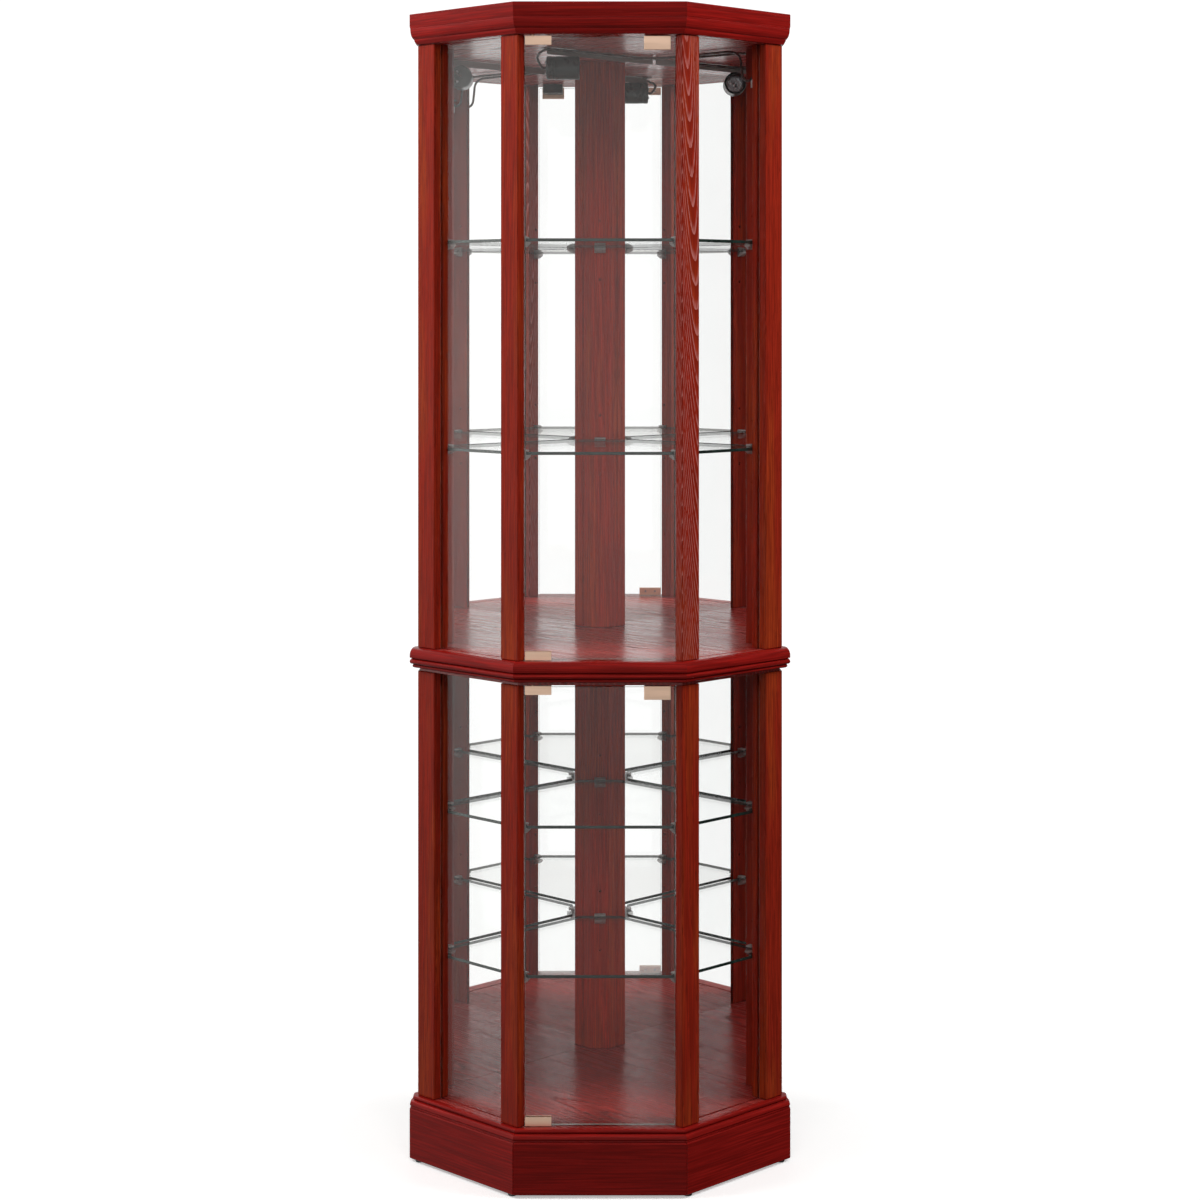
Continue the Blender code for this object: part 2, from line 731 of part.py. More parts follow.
def channel(name, length, height, edge_z, opens, centre_x, group, finish):
    """A folded brass channel that clips over the edge of the door's glass.

    edge_z is the glass edge it covers, and opens is +1 where the channel's mouth points up.
    """
    half = CAP_THICKNESS / 2
    slot = half - CAP_PLATE
    web = -(CAP_WEB + GAP)
    rim = height + web
    section = [(-half, web), (half, web), (half, rim), (slot, rim), (slot, -GAP), (-slot, -GAP),
               (-slot, rim), (-half, rim)]
    obj = prism(name, section, length, group, finish)
    stand = Matrix.Rotation(math.radians(90), 4, "Z") @ Matrix.Rotation(math.radians(90), 4, "X")
    if opens < 0:
        stand = Matrix.Rotation(math.radians(180), 4, "X") @ stand
    obj.data.transform(stand)
    obj.location = (centre_x, DOOR_MID_DEPTH - DEPTH / 2, edge_z)
    return obj


def build_door(level, floor, ceiling, group, cutters, boards, finishes):
    """One frameless glass door with its pivot channels and strike plate, on its pivot axis."""
    bottom, top = door_span(floor, ceiling)
    pivot_y = DOOR_MID_DEPTH - DEPTH / 2
    axis = bpy.data.objects.new(f"{level}_door_axis", None)
    axis.location = (PIVOT_X, pivot_y, bottom)
    group.objects.link(axis)
    glass = block(f"{level}_door_glass", (2 * DOOR_HALF_WIDTH, DOOR_GLASS_THICKNESS, top - bottom),
                  (0.0, pivot_y, (top + bottom) / 2), group, finishes["glass"])
    cap_x = -DOOR_HALF_WIDTH - CAP_OVERHANG + CAP_LENGTH / 2
    ends = {
        "bottom": (bottom, 1, floor, boards[FLOOR_BOARDS[level]]),
        "top": (top, -1, ceiling, boards[CEILING_BOARDS[level]]),
    }
    pieces = [glass]
    for end, (edge_z, opens, board_z, board) in ends.items():
        cap = channel(f"{level}_door_hinge_{end}", CAP_LENGTH, CAP_HEIGHT, edge_z, opens, cap_x,
                      group, finishes["brass"])
        root_z = edge_z - opens * (GAP + CAP_WEB / 2)
        tip_z = board_z - opens * PIVOT_PIN_ENTRY
        pin = rod(f"{level}_door_pin_{end}", PIVOT_PIN_DIAMETER, abs(tip_z - root_z),
                  (PIVOT_X, pivot_y, (tip_z + root_z) / 2), (0, 0, 1), cutters, sides=PIN_SIDES)
        boolean(cap, pin, "UNION")
        bore_low = board_z - opens * (PIVOT_PIN_ENTRY + BORE_END_CLEARANCE)
        bore_high = board_z + opens * CUT_OVERRUN
        bore = rod(f"{level}_door_bore_{end}", PIVOT_PIN_DIAMETER + 2 * PIN_CLEARANCE,
                   abs(bore_high - bore_low), (PIVOT_X, pivot_y, (bore_low + bore_high) / 2),
                   (0, 0, 1), cutters, sides=PIN_SIDES)
        boolean(board, bore, "DIFFERENCE")
        pieces.append(cap)
    strike = channel(f"{level}_door_strike", STRIKE_LENGTH, STRIKE_HEIGHT, top, -1, STRIKE_X,
                     group, finishes["brass"])
    pieces.append(strike)
    for piece in pieces:
        piece.parent = axis
        piece.location -= axis.location


def build_latch(level, ceiling, group, cutters, finishes):
    """Push latch under the board behind the strike plate: a housing and its sprung plunger."""
    top = ceiling - GAP
    centre_z = top - LATCH_HEIGHT / 2
    front_y = LATCH_FRONT_DEPTH - DEPTH / 2
    housing = block(f"{level}_latch_housing", (LATCH_WIDTH, LATCH_DEPTH, LATCH_HEIGHT),
                    (STRIKE_X, front_y + LATCH_DEPTH / 2, centre_z), group, finishes["black"])
    tip_y = STRIKE_BACK_DEPTH + PLUNGER_TIP_GAP - DEPTH / 2
    bore_end = tip_y + PLUNGER_LENGTH + PLUNGER_TRAVEL + BORE_END_CLEARANCE
    bore_start = front_y - CUT_OVERRUN
    bore = rod(f"{level}_latch_bore", PLUNGER_DIAMETER + 2 * PIN_CLEARANCE, bore_end - bore_start,
               (STRIKE_X, (bore_start + bore_end) / 2, centre_z), (0, 1, 0), cutters)
    boolean(housing, bore, "DIFFERENCE")
    plunger = rod(f"{level}_latch_plunger", PLUNGER_DIAMETER, PLUNGER_LENGTH,
                  (STRIKE_X, tip_y + PLUNGER_LENGTH / 2, centre_z), (0, 1, 0), group,
                  finishes["steel"])
    smooth(plunger)


# ================================================================ lamp
def build_bracket(group, finish):
    """Steel strip on edge under the ceiling, at 45 degrees across the compartment."""
    half = BRACKET_THICKNESS / 2
    z_high = Z_UPPER_CEILING - GAP
    return panel_block("lamp_bracket", 1, (BRACKET_START_U, BRACKET_START_U + BRACKET_LENGTH),
                       (BRACKET_V - half, BRACKET_V + half), (z_high - BRACKET_HEIGHT, z_high),
                       group, finish)


def holder_top():
    """Height of the top of the lamp holder, clear under its bracket."""
    return Z_UPPER_CEILING - GAP - BRACKET_HEIGHT - GAP


def holder_centre():
    """Plan point over which the middle of the lamp holder hangs."""
    return plan(1, BRACKET_START_U + HOLDER_ALONG_BRACKET, BRACKET_V + HOLDER_ASIDE)


def build_lamp_holder(group, finish):
    """Turned cup with an open mouth on the right, the bulb's screw shell inside it."""
    radius = HOLDER_DIAMETER / 2
    inner = radius - HOLDER_WALL
    half = HOLDER_LENGTH / 2
    profile = [(0.0, half), (radius - HOLDER_WALL, half), (radius, half - HOLDER_WALL),
               (radius, -half), (inner, -half), (inner, half - HOLDER_FLOOR),
               (0.0, half - HOLDER_FLOOR)]
    mesh = bpy.data.meshes.new("lamp_holder")
    mesh.from_pydata([(r, 0.0, z) for r, z in profile],
                     [(i, i + 1) for i in range(len(profile) - 1)], [])
    obj = mesh_object("lamp_holder", mesh, group, finish)
    turn = obj.modifiers.new("turned", "SCREW")
    turn.steps = ROUND_SIDES
    turn.render_steps = ROUND_SIDES
    turn.use_merge_vertices = True
    turn.merge_threshold = MERGE_DISTANCE
    obj.rotation_euler.y = math.radians(-90)
    obj.location = (*holder_centre(), holder_top() - radius)
    return obj


def beside_bracket(distance):
    """Plan point a given way along the bracket, on its front side and clear of it."""
    clear = (BRACKET_THICKNESS + LEAD_DIAMETER) / 2 + LEAD_CLEARANCE
    return plan(1, BRACKET_START_U + distance, BRACKET_V - clear)


def lead_route():
    """Points of the lead: out of the holder, along the bracket and the mirror, out by the stile."""
    under = Z_UPPER_CEILING - LEAD_DROP - LEAD_DIAMETER / 2
    bracket_start = Vector((*plan(1, BRACKET_START_U, BRACKET_V), under))
    holder_x, holder_y = holder_centre()
    holder_end = holder_x - HOLDER_LENGTH / 2
    holder_z = holder_top() - HOLDER_DIAMETER / 2
    stile_face = U_BACK - STILE_THICKNESS
    beside_mirror = U_MIRROR - LEAD_MIRROR_CLEARANCE
    beside_stile = stile_face - LEAD_STILE_CLEARANCE
    exit_v = LEAD_EXIT_V
    exit_z = Z_UPPER_CEILING - LEAD_EXIT_DROP
    loop_v = exit_v + LEAD_LOOP_WIDTH
    return [
        (holder_end - GAP * 2, holder_y, holder_z),
        (holder_end - LEAD_STRAIGHT, holder_y, holder_z),
        bracket_start + Vector(LEAD_RISE),
        bracket_start + Vector(LEAD_CREST),
        (*beside_bracket(0.025), under),
        (*beside_bracket(BRACKET_LENGTH / 2), under),
        (*beside_bracket(BRACKET_LENGTH - 0.065), under),
        (*beside_bracket(BRACKET_LENGTH - 0.040), under),
        (*plan(1, beside_mirror, BRACKET_V - 0.057), under),
        (*plan(1, beside_mirror, loop_v + 0.055), under),
        (*plan(1, beside_stile, loop_v + 0.020), under - 0.001),
        (*plan(1, beside_stile, loop_v + 0.004), under - 0.010),
        (*plan(1, beside_stile, loop_v), exit_z + 0.010),
        (*plan(1, beside_stile, loop_v - 0.004), exit_z - 0.006),
        (*plan(1, beside_stile, exit_v + LEAD_LOOP_WIDTH / 2), exit_z - LEAD_SAG),
        (*plan(1, beside_stile, exit_v + LEAD_STRAIGHT), exit_z - 0.007),
        (*plan(1, stile_face - LEAD_CLEARANCE, exit_v), exit_z - 0.001),
        (*plan(1, stile_face, exit_v), exit_z),
        (*plan(1, U_BACK - GAP, exit_v), exit_z),
    ]


def smooth_route(points, spacing):
    """Evenly stepped points on a smooth curve that passes through every given point."""
    knots = [Vector(point) for point in points]
    knots = [knots[0] * 2 - knots[1]] + knots + [knots[-1] * 2 - knots[-2]]
    route = []
    for a, b, c, d in zip(knots, knots[1:], knots[2:], knots[3:]):
        count = max(1, round((c - b).length / spacing))
        for index in range(count):
            t = index / count
            bend = (a * -1 + b * 3 - c * 3 + d) * t ** 3
            curve = (a * 2 - b * 5 + c * 4 - d) * t ** 2
            slope = (c - a) * t
            route.append((bend + curve + slope + b * 2) / 2)
    route.append(knots[-2])
    return route


def build_lead(group, cutters, stile_post, finish):
    """Lead clipped under the ceiling, and the hole it leaves through in the right stile."""
    route = smooth_route(lead_route(), LEAD_DIAMETER * 2)
    curve = bpy.data.curves.new("lamp_lead", "CURVE")
    curve.dimensions = "3D"
    curve.bevel_depth = LEAD_DIAMETER / 2
    curve.bevel_resolution = 1
    curve.use_fill_caps = True
    spline = curve.splines.new("POLY")
    spline.points.add(len(route) - 1)
    for point, place in zip(spline.points, route):
        point.co = (*place, 1.0)
    lead = bpy.data.objects.new("lamp_lead", curve)
    group.objects.link(lead)
    curve.materials.append(finish)
    direction = Vector((*plan(1, 1.0, 0.0), 0.0)) - Vector((*plan(1, 0.0, 0.0), 0.0))
    centre = plan(1, U_BACK - STILE_THICKNESS / 2, LEAD_EXIT_V)
    hole = rod("lamp_lead_hole", LEAD_HOLE_DIAMETER, STILE_THICKNESS + 2 * CUT_OVERRUN,
               (*centre, Z_UPPER_CEILING - LEAD_EXIT_DROP), direction, cutters, sides=PIN_SIDES)
    boolean(stile_post, hole, "DIFFERENCE")


# ================================================================ assembly
def build_cabinet():
    """Every piece of the cabinet, in its own collection."""
    clear_scene()
    group = new_collection("curio_cabinet")
    cutters = new_collection("cutters")
    wood = material("cherry_stained_wood", (0.23, 0.022, 0.018), 0.28)
    moulding_wood = material("cherry_stained_moulding", (0.26, 0.024, 0.018), 0.22)
    board_wood = material("cherry_stained_veneer", (0.25, 0.035, 0.028), 0.35)
    glass = material("clear_glass", (0.85, 0.92, 0.88), 0.02, alpha=0.25)
    shelf_glass = material("shelf_glass", (0.70, 0.85, 0.78), 0.02, alpha=0.35)
    mirror = material("silvered_mirror", (0.92, 0.93, 0.93), 0.02, metallic=1.0)
    rubber = material("black_glide", (0.03, 0.03, 0.03), 0.6)
    dark_steel = material("dark_steel", (0.09, 0.09, 0.09), 0.45, metallic=1.0)
    phenolic = material("dark_green_phenolic", (0.06, 0.08, 0.075), 0.4)
    lead_sheath = material("clear_brown_sheath", (0.10, 0.05, 0.045), 0.35)
    finishes = {
        "glass": glass,
        "brass": material("satin_brass", (0.76, 0.58, 0.38), 0.38, metallic=1.0),
        "black": material("black_plastic", (0.03, 0.028, 0.028), 0.45),
        "steel": material("plunger_steel", (0.45, 0.45, 0.46), 0.35, metallic=1.0),
    }
    build_glides(group, rubber)
    build_plinth(group, wood)
    build_mouldings(group, moulding_wood)
    build_posts(group, wood)
    boards = build_boards(group, board_wood)
    build_panels(group, cutters, boards, glass, mirror)
    build_shelves(group, shelf_glass)
    for level, (floor, ceiling, _) in COMPARTMENTS.items():
        build_door(level, floor, ceiling, group, cutters, boards, finishes)
        build_latch(level, ceiling, group, cutters, finishes)
    build_bracket(group, dark_steel)
    build_lamp_holder(group, phenolic)
    build_lead(group, cutters, bpy.data.objects["upper_corner_post_right"], lead_sheath)


build_cabinet()
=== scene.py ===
"""Corner curio cabinet: the finished surfaces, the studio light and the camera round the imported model.

The frame gives every place. Half of the plan is laid out in its own pair of axes, as the cabinet is
made: u runs along the 45 degree side face from its front mitre towards the back, and v runs inwards
from that face. The wall behind that half stands at a constant u. Lengths are in metres.
"""

import json
import math

import bmesh
import bpy
import numpy as np
from bpy.props import FloatProperty, FloatVectorProperty, PointerProperty
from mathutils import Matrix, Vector

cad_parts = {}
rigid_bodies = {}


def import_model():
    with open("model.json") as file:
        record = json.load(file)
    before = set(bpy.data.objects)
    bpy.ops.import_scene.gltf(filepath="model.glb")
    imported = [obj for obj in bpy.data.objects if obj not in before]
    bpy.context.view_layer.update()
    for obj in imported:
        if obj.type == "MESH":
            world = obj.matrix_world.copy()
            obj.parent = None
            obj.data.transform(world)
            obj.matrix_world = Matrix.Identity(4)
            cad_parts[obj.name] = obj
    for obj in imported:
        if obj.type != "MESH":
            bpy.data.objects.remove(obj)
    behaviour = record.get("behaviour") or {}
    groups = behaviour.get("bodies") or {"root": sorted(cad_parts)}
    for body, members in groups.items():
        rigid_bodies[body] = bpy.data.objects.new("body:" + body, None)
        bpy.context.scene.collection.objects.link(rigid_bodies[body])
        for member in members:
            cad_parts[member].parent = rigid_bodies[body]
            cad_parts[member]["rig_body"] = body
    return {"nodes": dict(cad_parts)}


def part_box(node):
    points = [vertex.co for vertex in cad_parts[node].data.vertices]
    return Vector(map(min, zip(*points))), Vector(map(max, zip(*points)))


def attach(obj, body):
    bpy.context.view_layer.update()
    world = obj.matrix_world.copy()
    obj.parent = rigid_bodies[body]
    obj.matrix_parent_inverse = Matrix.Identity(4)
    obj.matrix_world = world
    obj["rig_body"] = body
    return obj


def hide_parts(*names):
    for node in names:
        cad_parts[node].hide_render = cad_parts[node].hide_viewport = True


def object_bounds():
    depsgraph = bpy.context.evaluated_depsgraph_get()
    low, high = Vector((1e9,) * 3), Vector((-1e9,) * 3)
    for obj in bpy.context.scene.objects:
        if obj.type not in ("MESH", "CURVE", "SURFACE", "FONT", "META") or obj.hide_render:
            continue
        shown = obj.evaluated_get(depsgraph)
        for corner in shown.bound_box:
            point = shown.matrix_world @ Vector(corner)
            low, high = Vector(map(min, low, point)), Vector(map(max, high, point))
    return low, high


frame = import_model()

bl_info = {
    "name": "Corner Curio Cabinet",
    "version": (1, 0, 0),
    "blender": (4, 5, 0),
    "location": "View3D > Sidebar > Curio Cabinet",
    "description": "Finishes a two-door corner curio cabinet on its packed frame",
    "category": "Add Mesh",
}

# ---------------------------------------------------------------- places from the frame
CAD_LOW, CAD_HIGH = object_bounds()
ROOT2 = math.sqrt(2.0)
JOINT_GAP = 0.0003
SIDES = {"left": -1, "right": 1}
LEVELS = ("lower", "upper")
DEPTH = CAD_HIGH.y - CAD_LOW.y
HALF_WIDTH = CAD_HIGH.x
HALF_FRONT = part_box("crown_moulding_front")[1].x + JOINT_GAP / 2
SIDE_RUN = HALF_WIDTH - HALF_FRONT
RETURN_LENGTH = DEPTH - SIDE_RUN - HALF_WIDTH
U_BACK = SIDE_RUN * ROOT2 + RETURN_LENGTH / ROOT2
SHELVES = {level: [f"{level}_shelf_{number}" for number in (1, 2)] for level in LEVELS}


def plan(side, u, v):
    """X and Y of the plan point u, v of one half of the cabinet.

    X is side (F + (u - v) / root 2) and Y is (u + v) / root 2 - D / 2, where side is -1 or 1, F is half
    the width of the front and D is the depth.
    """
    across = side * (HALF_FRONT + (np.asarray(u) - v) / ROOT2)
    depth = (np.asarray(u) + v) / ROOT2
    return np.stack([across, depth - DEPTH / 2], axis=-1)


def u_and_v(side, points):
    """The plan point's u and v of one half, where u is (depth + across) / root 2.

    v is (depth - across) / root 2. Both are counted from the front corner of that half.
    """
    across = side * points[..., 0] - HALF_FRONT
    depth = points[..., 1] + DEPTH / 2
    return (depth + across) / ROOT2, (depth - across) / ROOT2


def node_points(node_name):
    """The places of a CAD node's vertices, as rows of x, y and z."""
    mesh = frame["nodes"][node_name].data
    flat = np.empty(len(mesh.vertices) * 3)
    mesh.vertices.foreach_get("co", flat)
    return flat.reshape(-1, 3)


def extent(node_name, side):
    """Lowest and highest u, v and z of a CAD node that stands square to one half's own axes."""
    points = node_points(node_name)
    u, v = u_and_v(side, points)
    return [(values.min(), values.max()) for values in (u, v, points[:, 2])]


# ---------------------------------------------------------------- settings a user would change
class WoodSettings(bpy.types.PropertyGroup):
    """Colour and grain of the stained wood."""

    stain: FloatVectorProperty(
        name="Stain", description="Cherry stain of the posts", subtype="COLOR", size=3, min=0, max=1,
        default=(0.370, 0.0240, 0.0100))
    amber: FloatVectorProperty(
        name="Amber streak", description="Warmer streaks in the posts", subtype="COLOR", size=3, min=0,
        max=1, default=(0.420, 0.0520, 0.0120))
    moulding_stain: FloatVectorProperty(
        name="Moulding stain", description="Stain of the mouldings and the plinth", subtype="COLOR",
        size=3, min=0, max=1, default=(0.330, 0.0110, 0.0085))
    veneer_stain: FloatVectorProperty(
        name="Veneer stain", description="Stain of the floors and ceilings", subtype="COLOR", size=3, min=0,
        max=1, default=(0.440, 0.0440, 0.0360))
    ring_spacing: FloatProperty(
        name="Ring spacing", description="Distance between two growth rings", unit="LENGTH", min=0.0005,
        default=0.0032)
    lacquer_roughness: FloatProperty(
        name="Lacquer roughness", description="Roughness of the lacquered faces", subtype="FACTOR", min=0,
        max=1, default=0.24)


class GlassSettings(bpy.types.PropertyGroup):
    """Colour and haze of the glass and the mirrors."""

    tint: FloatVectorProperty(
        name="Glass tint", description="What one surface of a pane lets through", subtype="COLOR", size=3,
        min=0, max=1, default=(0.998, 0.999, 0.998))
    edge: FloatVectorProperty(
        name="Glass edge", description="Colour of a ground edge", subtype="COLOR", size=3, min=0, max=1,
        default=(0.010, 0.020, 0.016))
    haze: FloatProperty(
        name="Haze", description="Share of each surface that scatters light", subtype="FACTOR", min=0, max=1,
        default=0.004)
    silver: FloatVectorProperty(
        name="Silver", description="What a mirror throws back", subtype="COLOR", size=3, min=0, max=1,
        default=(0.990, 0.992, 0.990))


class FittingSettings(bpy.types.PropertyGroup):
    """Colours and sizes of the small fittings."""

    brass: FloatVectorProperty(
        name="Brass", description="Satin brass of the door fittings", subtype="COLOR", size=3, min=0, max=1,
        default=(1.000, 0.700, 0.520))
    hole_diameter: FloatProperty(
        name="Support hole", description="Diameter of the shelf support holes", unit="LENGTH", min=0.001,
        default=0.0050)
    hole_step: FloatProperty(
        name="Hole step", description="Distance from a shelf's holes to the next ones", unit="LENGTH",
        min=0.01, default=0.050)
    clip_reach: FloatProperty(
        name="Clip reach", description="How far a shelf support stands out of the wood", unit="LENGTH",
        min=0.005, default=0.0135)
    clip_width: FloatProperty(
        name="Clip width", description="Width of a shelf support", unit="LENGTH", min=0.004, default=0.011)
    centre_clip_width: FloatProperty(
        name="Centre clip width", description="Width of the support on the centre post", unit="LENGTH",
        min=0.004, default=0.019)


class StudioSettings(bpy.types.PropertyGroup):
    """The light of the studio."""

    side_power: FloatProperty(
        name="Side light", description="Power of each side light, in watts", min=0, default=64.0)
    fill_power: FloatProperty(
        name="Front light", description="Power of the front light, in watts", min=0, default=44.0)
    ambient: FloatProperty(
        name="Ambient", description="Light that the room throws on matt faces", min=0, default=0.14)
    sheen: FloatProperty(
        name="Sheen", description="Brightness of the room in glass and lacquer", min=0, default=0.72)
    floor_tone: FloatVectorProperty(
        name="Floor", description="Colour of the floor", subtype="COLOR", size=3, min=0, max=1,
        default=(0.90, 0.90, 0.89))


def wood_settings():
    """The wood settings of this scene."""
    return bpy.context.scene.curio_wood


def glass_settings():
    """The glass settings of this scene."""
    return bpy.context.scene.curio_glass


def fitting_settings():
    """The settings of the fittings in this scene."""
    return bpy.context.scene.curio_fittings


def studio_settings():
    """The studio settings of this scene."""
    return bpy.context.scene.curio_studio


# ---------------------------------------------------------------- surfaces worked out with numpy
WELD_DISTANCE = 0.000002
WORKED_EDGE_DEGREES = 12
PANE_EDGE_DEGREES = 5
FLAT_FACE = 0.9


def grid_quads(rows, columns, around):
    """Quads between the points of a grid, where point i, j has the number i * columns + j."""
    i = np.arange(rows - 1)[:, None]
    j = np.arange(columns if around else columns - 1)[None, :]
    beside = (j + 1) % columns
    corners = [i * columns + j, i * columns + beside, (i + 1) * columns + beside, (i + 1) * columns + j]
    return np.stack(corners, axis=-1).reshape(-1, 4)


def arc(centre, radii, start, end, steps=8):
    """Points c + r (cos a, sin a) for the angle a from start to end, in degrees."""
    angle = np.radians(np.linspace(start, end, steps + 1))
    return np.stack([centre[0] + radii[0] * np.cos(angle), centre[1] + radii[1] * np.sin(angle)], axis=-1)


def rounded(outline, radius, steps=3):
    """A closed outline with its corners eased: each corner p becomes p + a r (1 - t)^2 + b r t^2.

    a and b are the unit directions from the corner to its two neighbours, and t runs from 0 to 1.
    """
    corner = np.asarray(outline, float)
    before = np.roll(corner, 1, axis=0) - corner
    after = np.roll(corner, -1, axis=0) - corner
    before /= np.linalg.norm(before, axis=1, keepdims=True)
    after /= np.linalg.norm(after, axis=1, keepdims=True)
    t = np.linspace(0, 1, steps + 1)[None, :, None]
    points = corner[:, None] + before[:, None] * radius * (1 - t) ** 2 + after[:, None] * radius * t**2
    return points.reshape(-1, 2)


def inset(outline, amount):
    """A closed outline moved inwards: each point goes along the mean of its two edge normals."""
    edge = np.roll(outline, -1, axis=0) - outline
    normal = np.stack([edge[:, 1], -edge[:, 0]], axis=-1)
    normal /= np.linalg.norm(normal, axis=1, keepdims=True)
    x, y = outline.T
    turn = np.sign((x * np.roll(y, -1) - np.roll(x, -1) * y).sum())
    mean = normal + np.roll(normal, 1, axis=0)
    mean /= np.linalg.norm(mean, axis=1, keepdims=True)
    return outline - mean * turn * amount


def stacked(outline, low, high, ease, steps=2):
    """Rings of a slab: a flat outline carried from low to high, with quarter round rims.

    At the angle a of the lower rim the outline is inset by e (1 - sin a) at the height
    low + e (1 - cos a); the upper rim mirrors it.
    """
    angle = np.linspace(0, math.pi / 2, steps + 1)
    amounts = ease * (1 - np.sin(angle))
    rises = ease * (1 - np.cos(angle))
    amounts = np.concatenate([amounts, amounts[::-1]])
    heights = np.concatenate([low + rises, high - rises[::-1]])
    rings = [np.column_stack([inset(outline, amount), np.full(len(outline), height)])
             for amount, height in zip(amounts, heights)]
    return np.stack(rings)


def turned(profile, steps=32):
    """Rings of a turned shape about the X axis: the profile (r, x) gives (x, r cos a, r sin a)."""
    angle = np.linspace(0, 2 * math.pi, steps, endpoint=False)
    radius = np.asarray(profile, float)[:, 0:1]
    along = np.repeat(np.asarray(profile, float)[:, 1:2], steps, axis=1)
    return np.stack([along, radius * np.cos(angle), radius * np.sin(angle)], axis=-1)


def aimed(points, origin, along, up=(0, 0, 1)):
    """Points moved so that their X axis lies along a direction, Z as near up as it can, from an origin."""
    x = np.asarray(along, float)
    x = x / np.linalg.norm(x)
    y = np.cross(np.asarray(up, float), x)
    y /= np.linalg.norm(y)
    return np.asarray(origin, float) + points @ np.stack([x, y, np.cross(x, y)])


def carried(profile, path, z_low):
    """Rings of a moulding: ring k is corner k + m * out at z_low + height, for the profile (out, height).

    m = (n1 + n2) / (1 + n1 . n2), where n1 and n2 are the outward normals of the two stretches that meet
    at the corner. The path has one more point at each end, which gives the end's mitre.
    """
    steps = np.diff(path, axis=0)
    steps /= np.linalg.norm(steps, axis=1, keepdims=True)
    normal = np.stack([steps[:, 1], -steps[:, 0]], axis=-1)
    before, after = normal[:-1], normal[1:]
    mitre = (before + after) / (1 + (before * after).sum(axis=1, keepdims=True))
    flat = path[1:-1, None] + mitre[:, None] * profile[None, :, 0:1]
    height = np.broadcast_to(z_low + profile[None, :, 1:2], (*flat.shape[:2], 1))
    return np.concatenate([flat, height], axis=-1)


def smooth_route(points, spacing):
    """A smooth line through every point: a Catmull-Rom cubic between b and c, with the neighbours a and d.

    Each stretch is half of (-a + 3b - 3c + d) t^3 + (2a - 5b + 4c - d) t^2 + (c - a) t + 2b, where t runs
    from 0 to 1. The line's two ends are carried straight on by one point.
    """
    knots = np.asarray(points, float)
    knots = np.concatenate([2 * knots[:1] - knots[1:2], knots, 2 * knots[-1:] - knots[-2:-1]])
    stretches = []
    for a, b, c, d in zip(knots, knots[1:], knots[2:], knots[3:]):
        count = max(2, round(float(np.linalg.norm(c - b)) / spacing))
        t = np.linspace(0, 1, count, endpoint=False)[:, None]
        cubic = (-a + 3 * b - 3 * c + d) * t**3
        square = (2 * a - 5 * b + 4 * c - d) * t**2
        stretches.append((cubic + square + (c - a) * t + 2 * b) / 2)
    return np.concatenate([*stretches, knots[-2:-1]])


def tube(line, radius, sides=14):
    """Rings round a line: p + r (n cos a + b sin a), where n and b stay square to the line's direction.

    n starts square to the line, and at each point it is the one before it with the part along the
    line's direction taken out, so the tube doesn't twist.
    """
    direction = np.gradient(line, axis=0)
    direction /= np.linalg.norm(direction, axis=1, keepdims=True)
    normals = np.empty_like(line)
    carried_on = np.cross(direction[0], (0.3, 0.2, 1.0))
    for index, along in enumerate(direction):
        carried_on = carried_on - along * carried_on.dot(along)
        carried_on /= np.linalg.norm(carried_on)
        normals[index] = carried_on
    across = np.cross(direction, normals)
    angle = np.linspace(0, 2 * math.pi, sides, endpoint=False)[None, :, None]
    return line[:, None] + radius * (normals[:, None] * np.cos(angle) + across[:, None] * np.sin(angle))


class Piece:
    """Gathers closed shells, each with the number of its finish, and makes one object of them."""

    def __init__(self, name):
        self.name = name
        self.points = []
        self.faces = []
        self.slots = []
        self.count = 0

    def add(self, rings, slot=0):
        """A closed shell from rings of points, with a face over the first and the last ring."""
        rows, columns, _ = rings.shape
        faces = (grid_quads(rows, columns, True) + self.count).tolist()
        first = self.count + np.arange(columns)
        faces.append(first[::-1].tolist())
        faces.append((first + (rows - 1) * columns).tolist())
        self.points.append(rings.reshape(-1, 3))
        self.faces += faces
        self.slots += [slot] * len(faces)
        self.count += rows * columns
        return self

    def make(self, finishes, body, slot_name, angle=40):
        """The object, with doubled points merged and its faces turned outwards, riding on a body."""
        mesh = bpy.data.meshes.new(self.name)
        mesh.from_pydata(np.concatenate(self.points), [], self.faces)
        mesh.polygons.foreach_set("material_index", np.array(self.slots, np.int32))
        close_shells(mesh)
        return place_object(self.name, mesh, finishes, body, angle)


def close_shells(mesh):
    """Merge doubled points, drop faces without area and turn every closed shell outwards."""
    bm = bmesh.new()
    bm.from_mesh(mesh)
    bmesh.ops.remove_doubles(bm, verts=bm.verts, dist=WELD_DISTANCE)
    bmesh.ops.dissolve_degenerate(bm, edges=bm.edges, dist=WELD_DISTANCE)
    bmesh.ops.recalc_face_normals(bm, faces=bm.faces)
    bm.to_mesh(mesh)
    bm.free()


def place_object(name, mesh, finishes, body, angle=40):
    """Link a finished mesh as an object at the origin, give it its finishes and let it ride."""
    for finish in finishes:
        mesh.materials.append(finish)
    mesh.shade_smooth()
    mesh.set_sharp_from_angle(angle=math.radians(angle))
    obj = bpy.data.objects.new(name, mesh)
    bpy.context.scene.collection.objects.link(obj)
    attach(obj, body)
    return obj


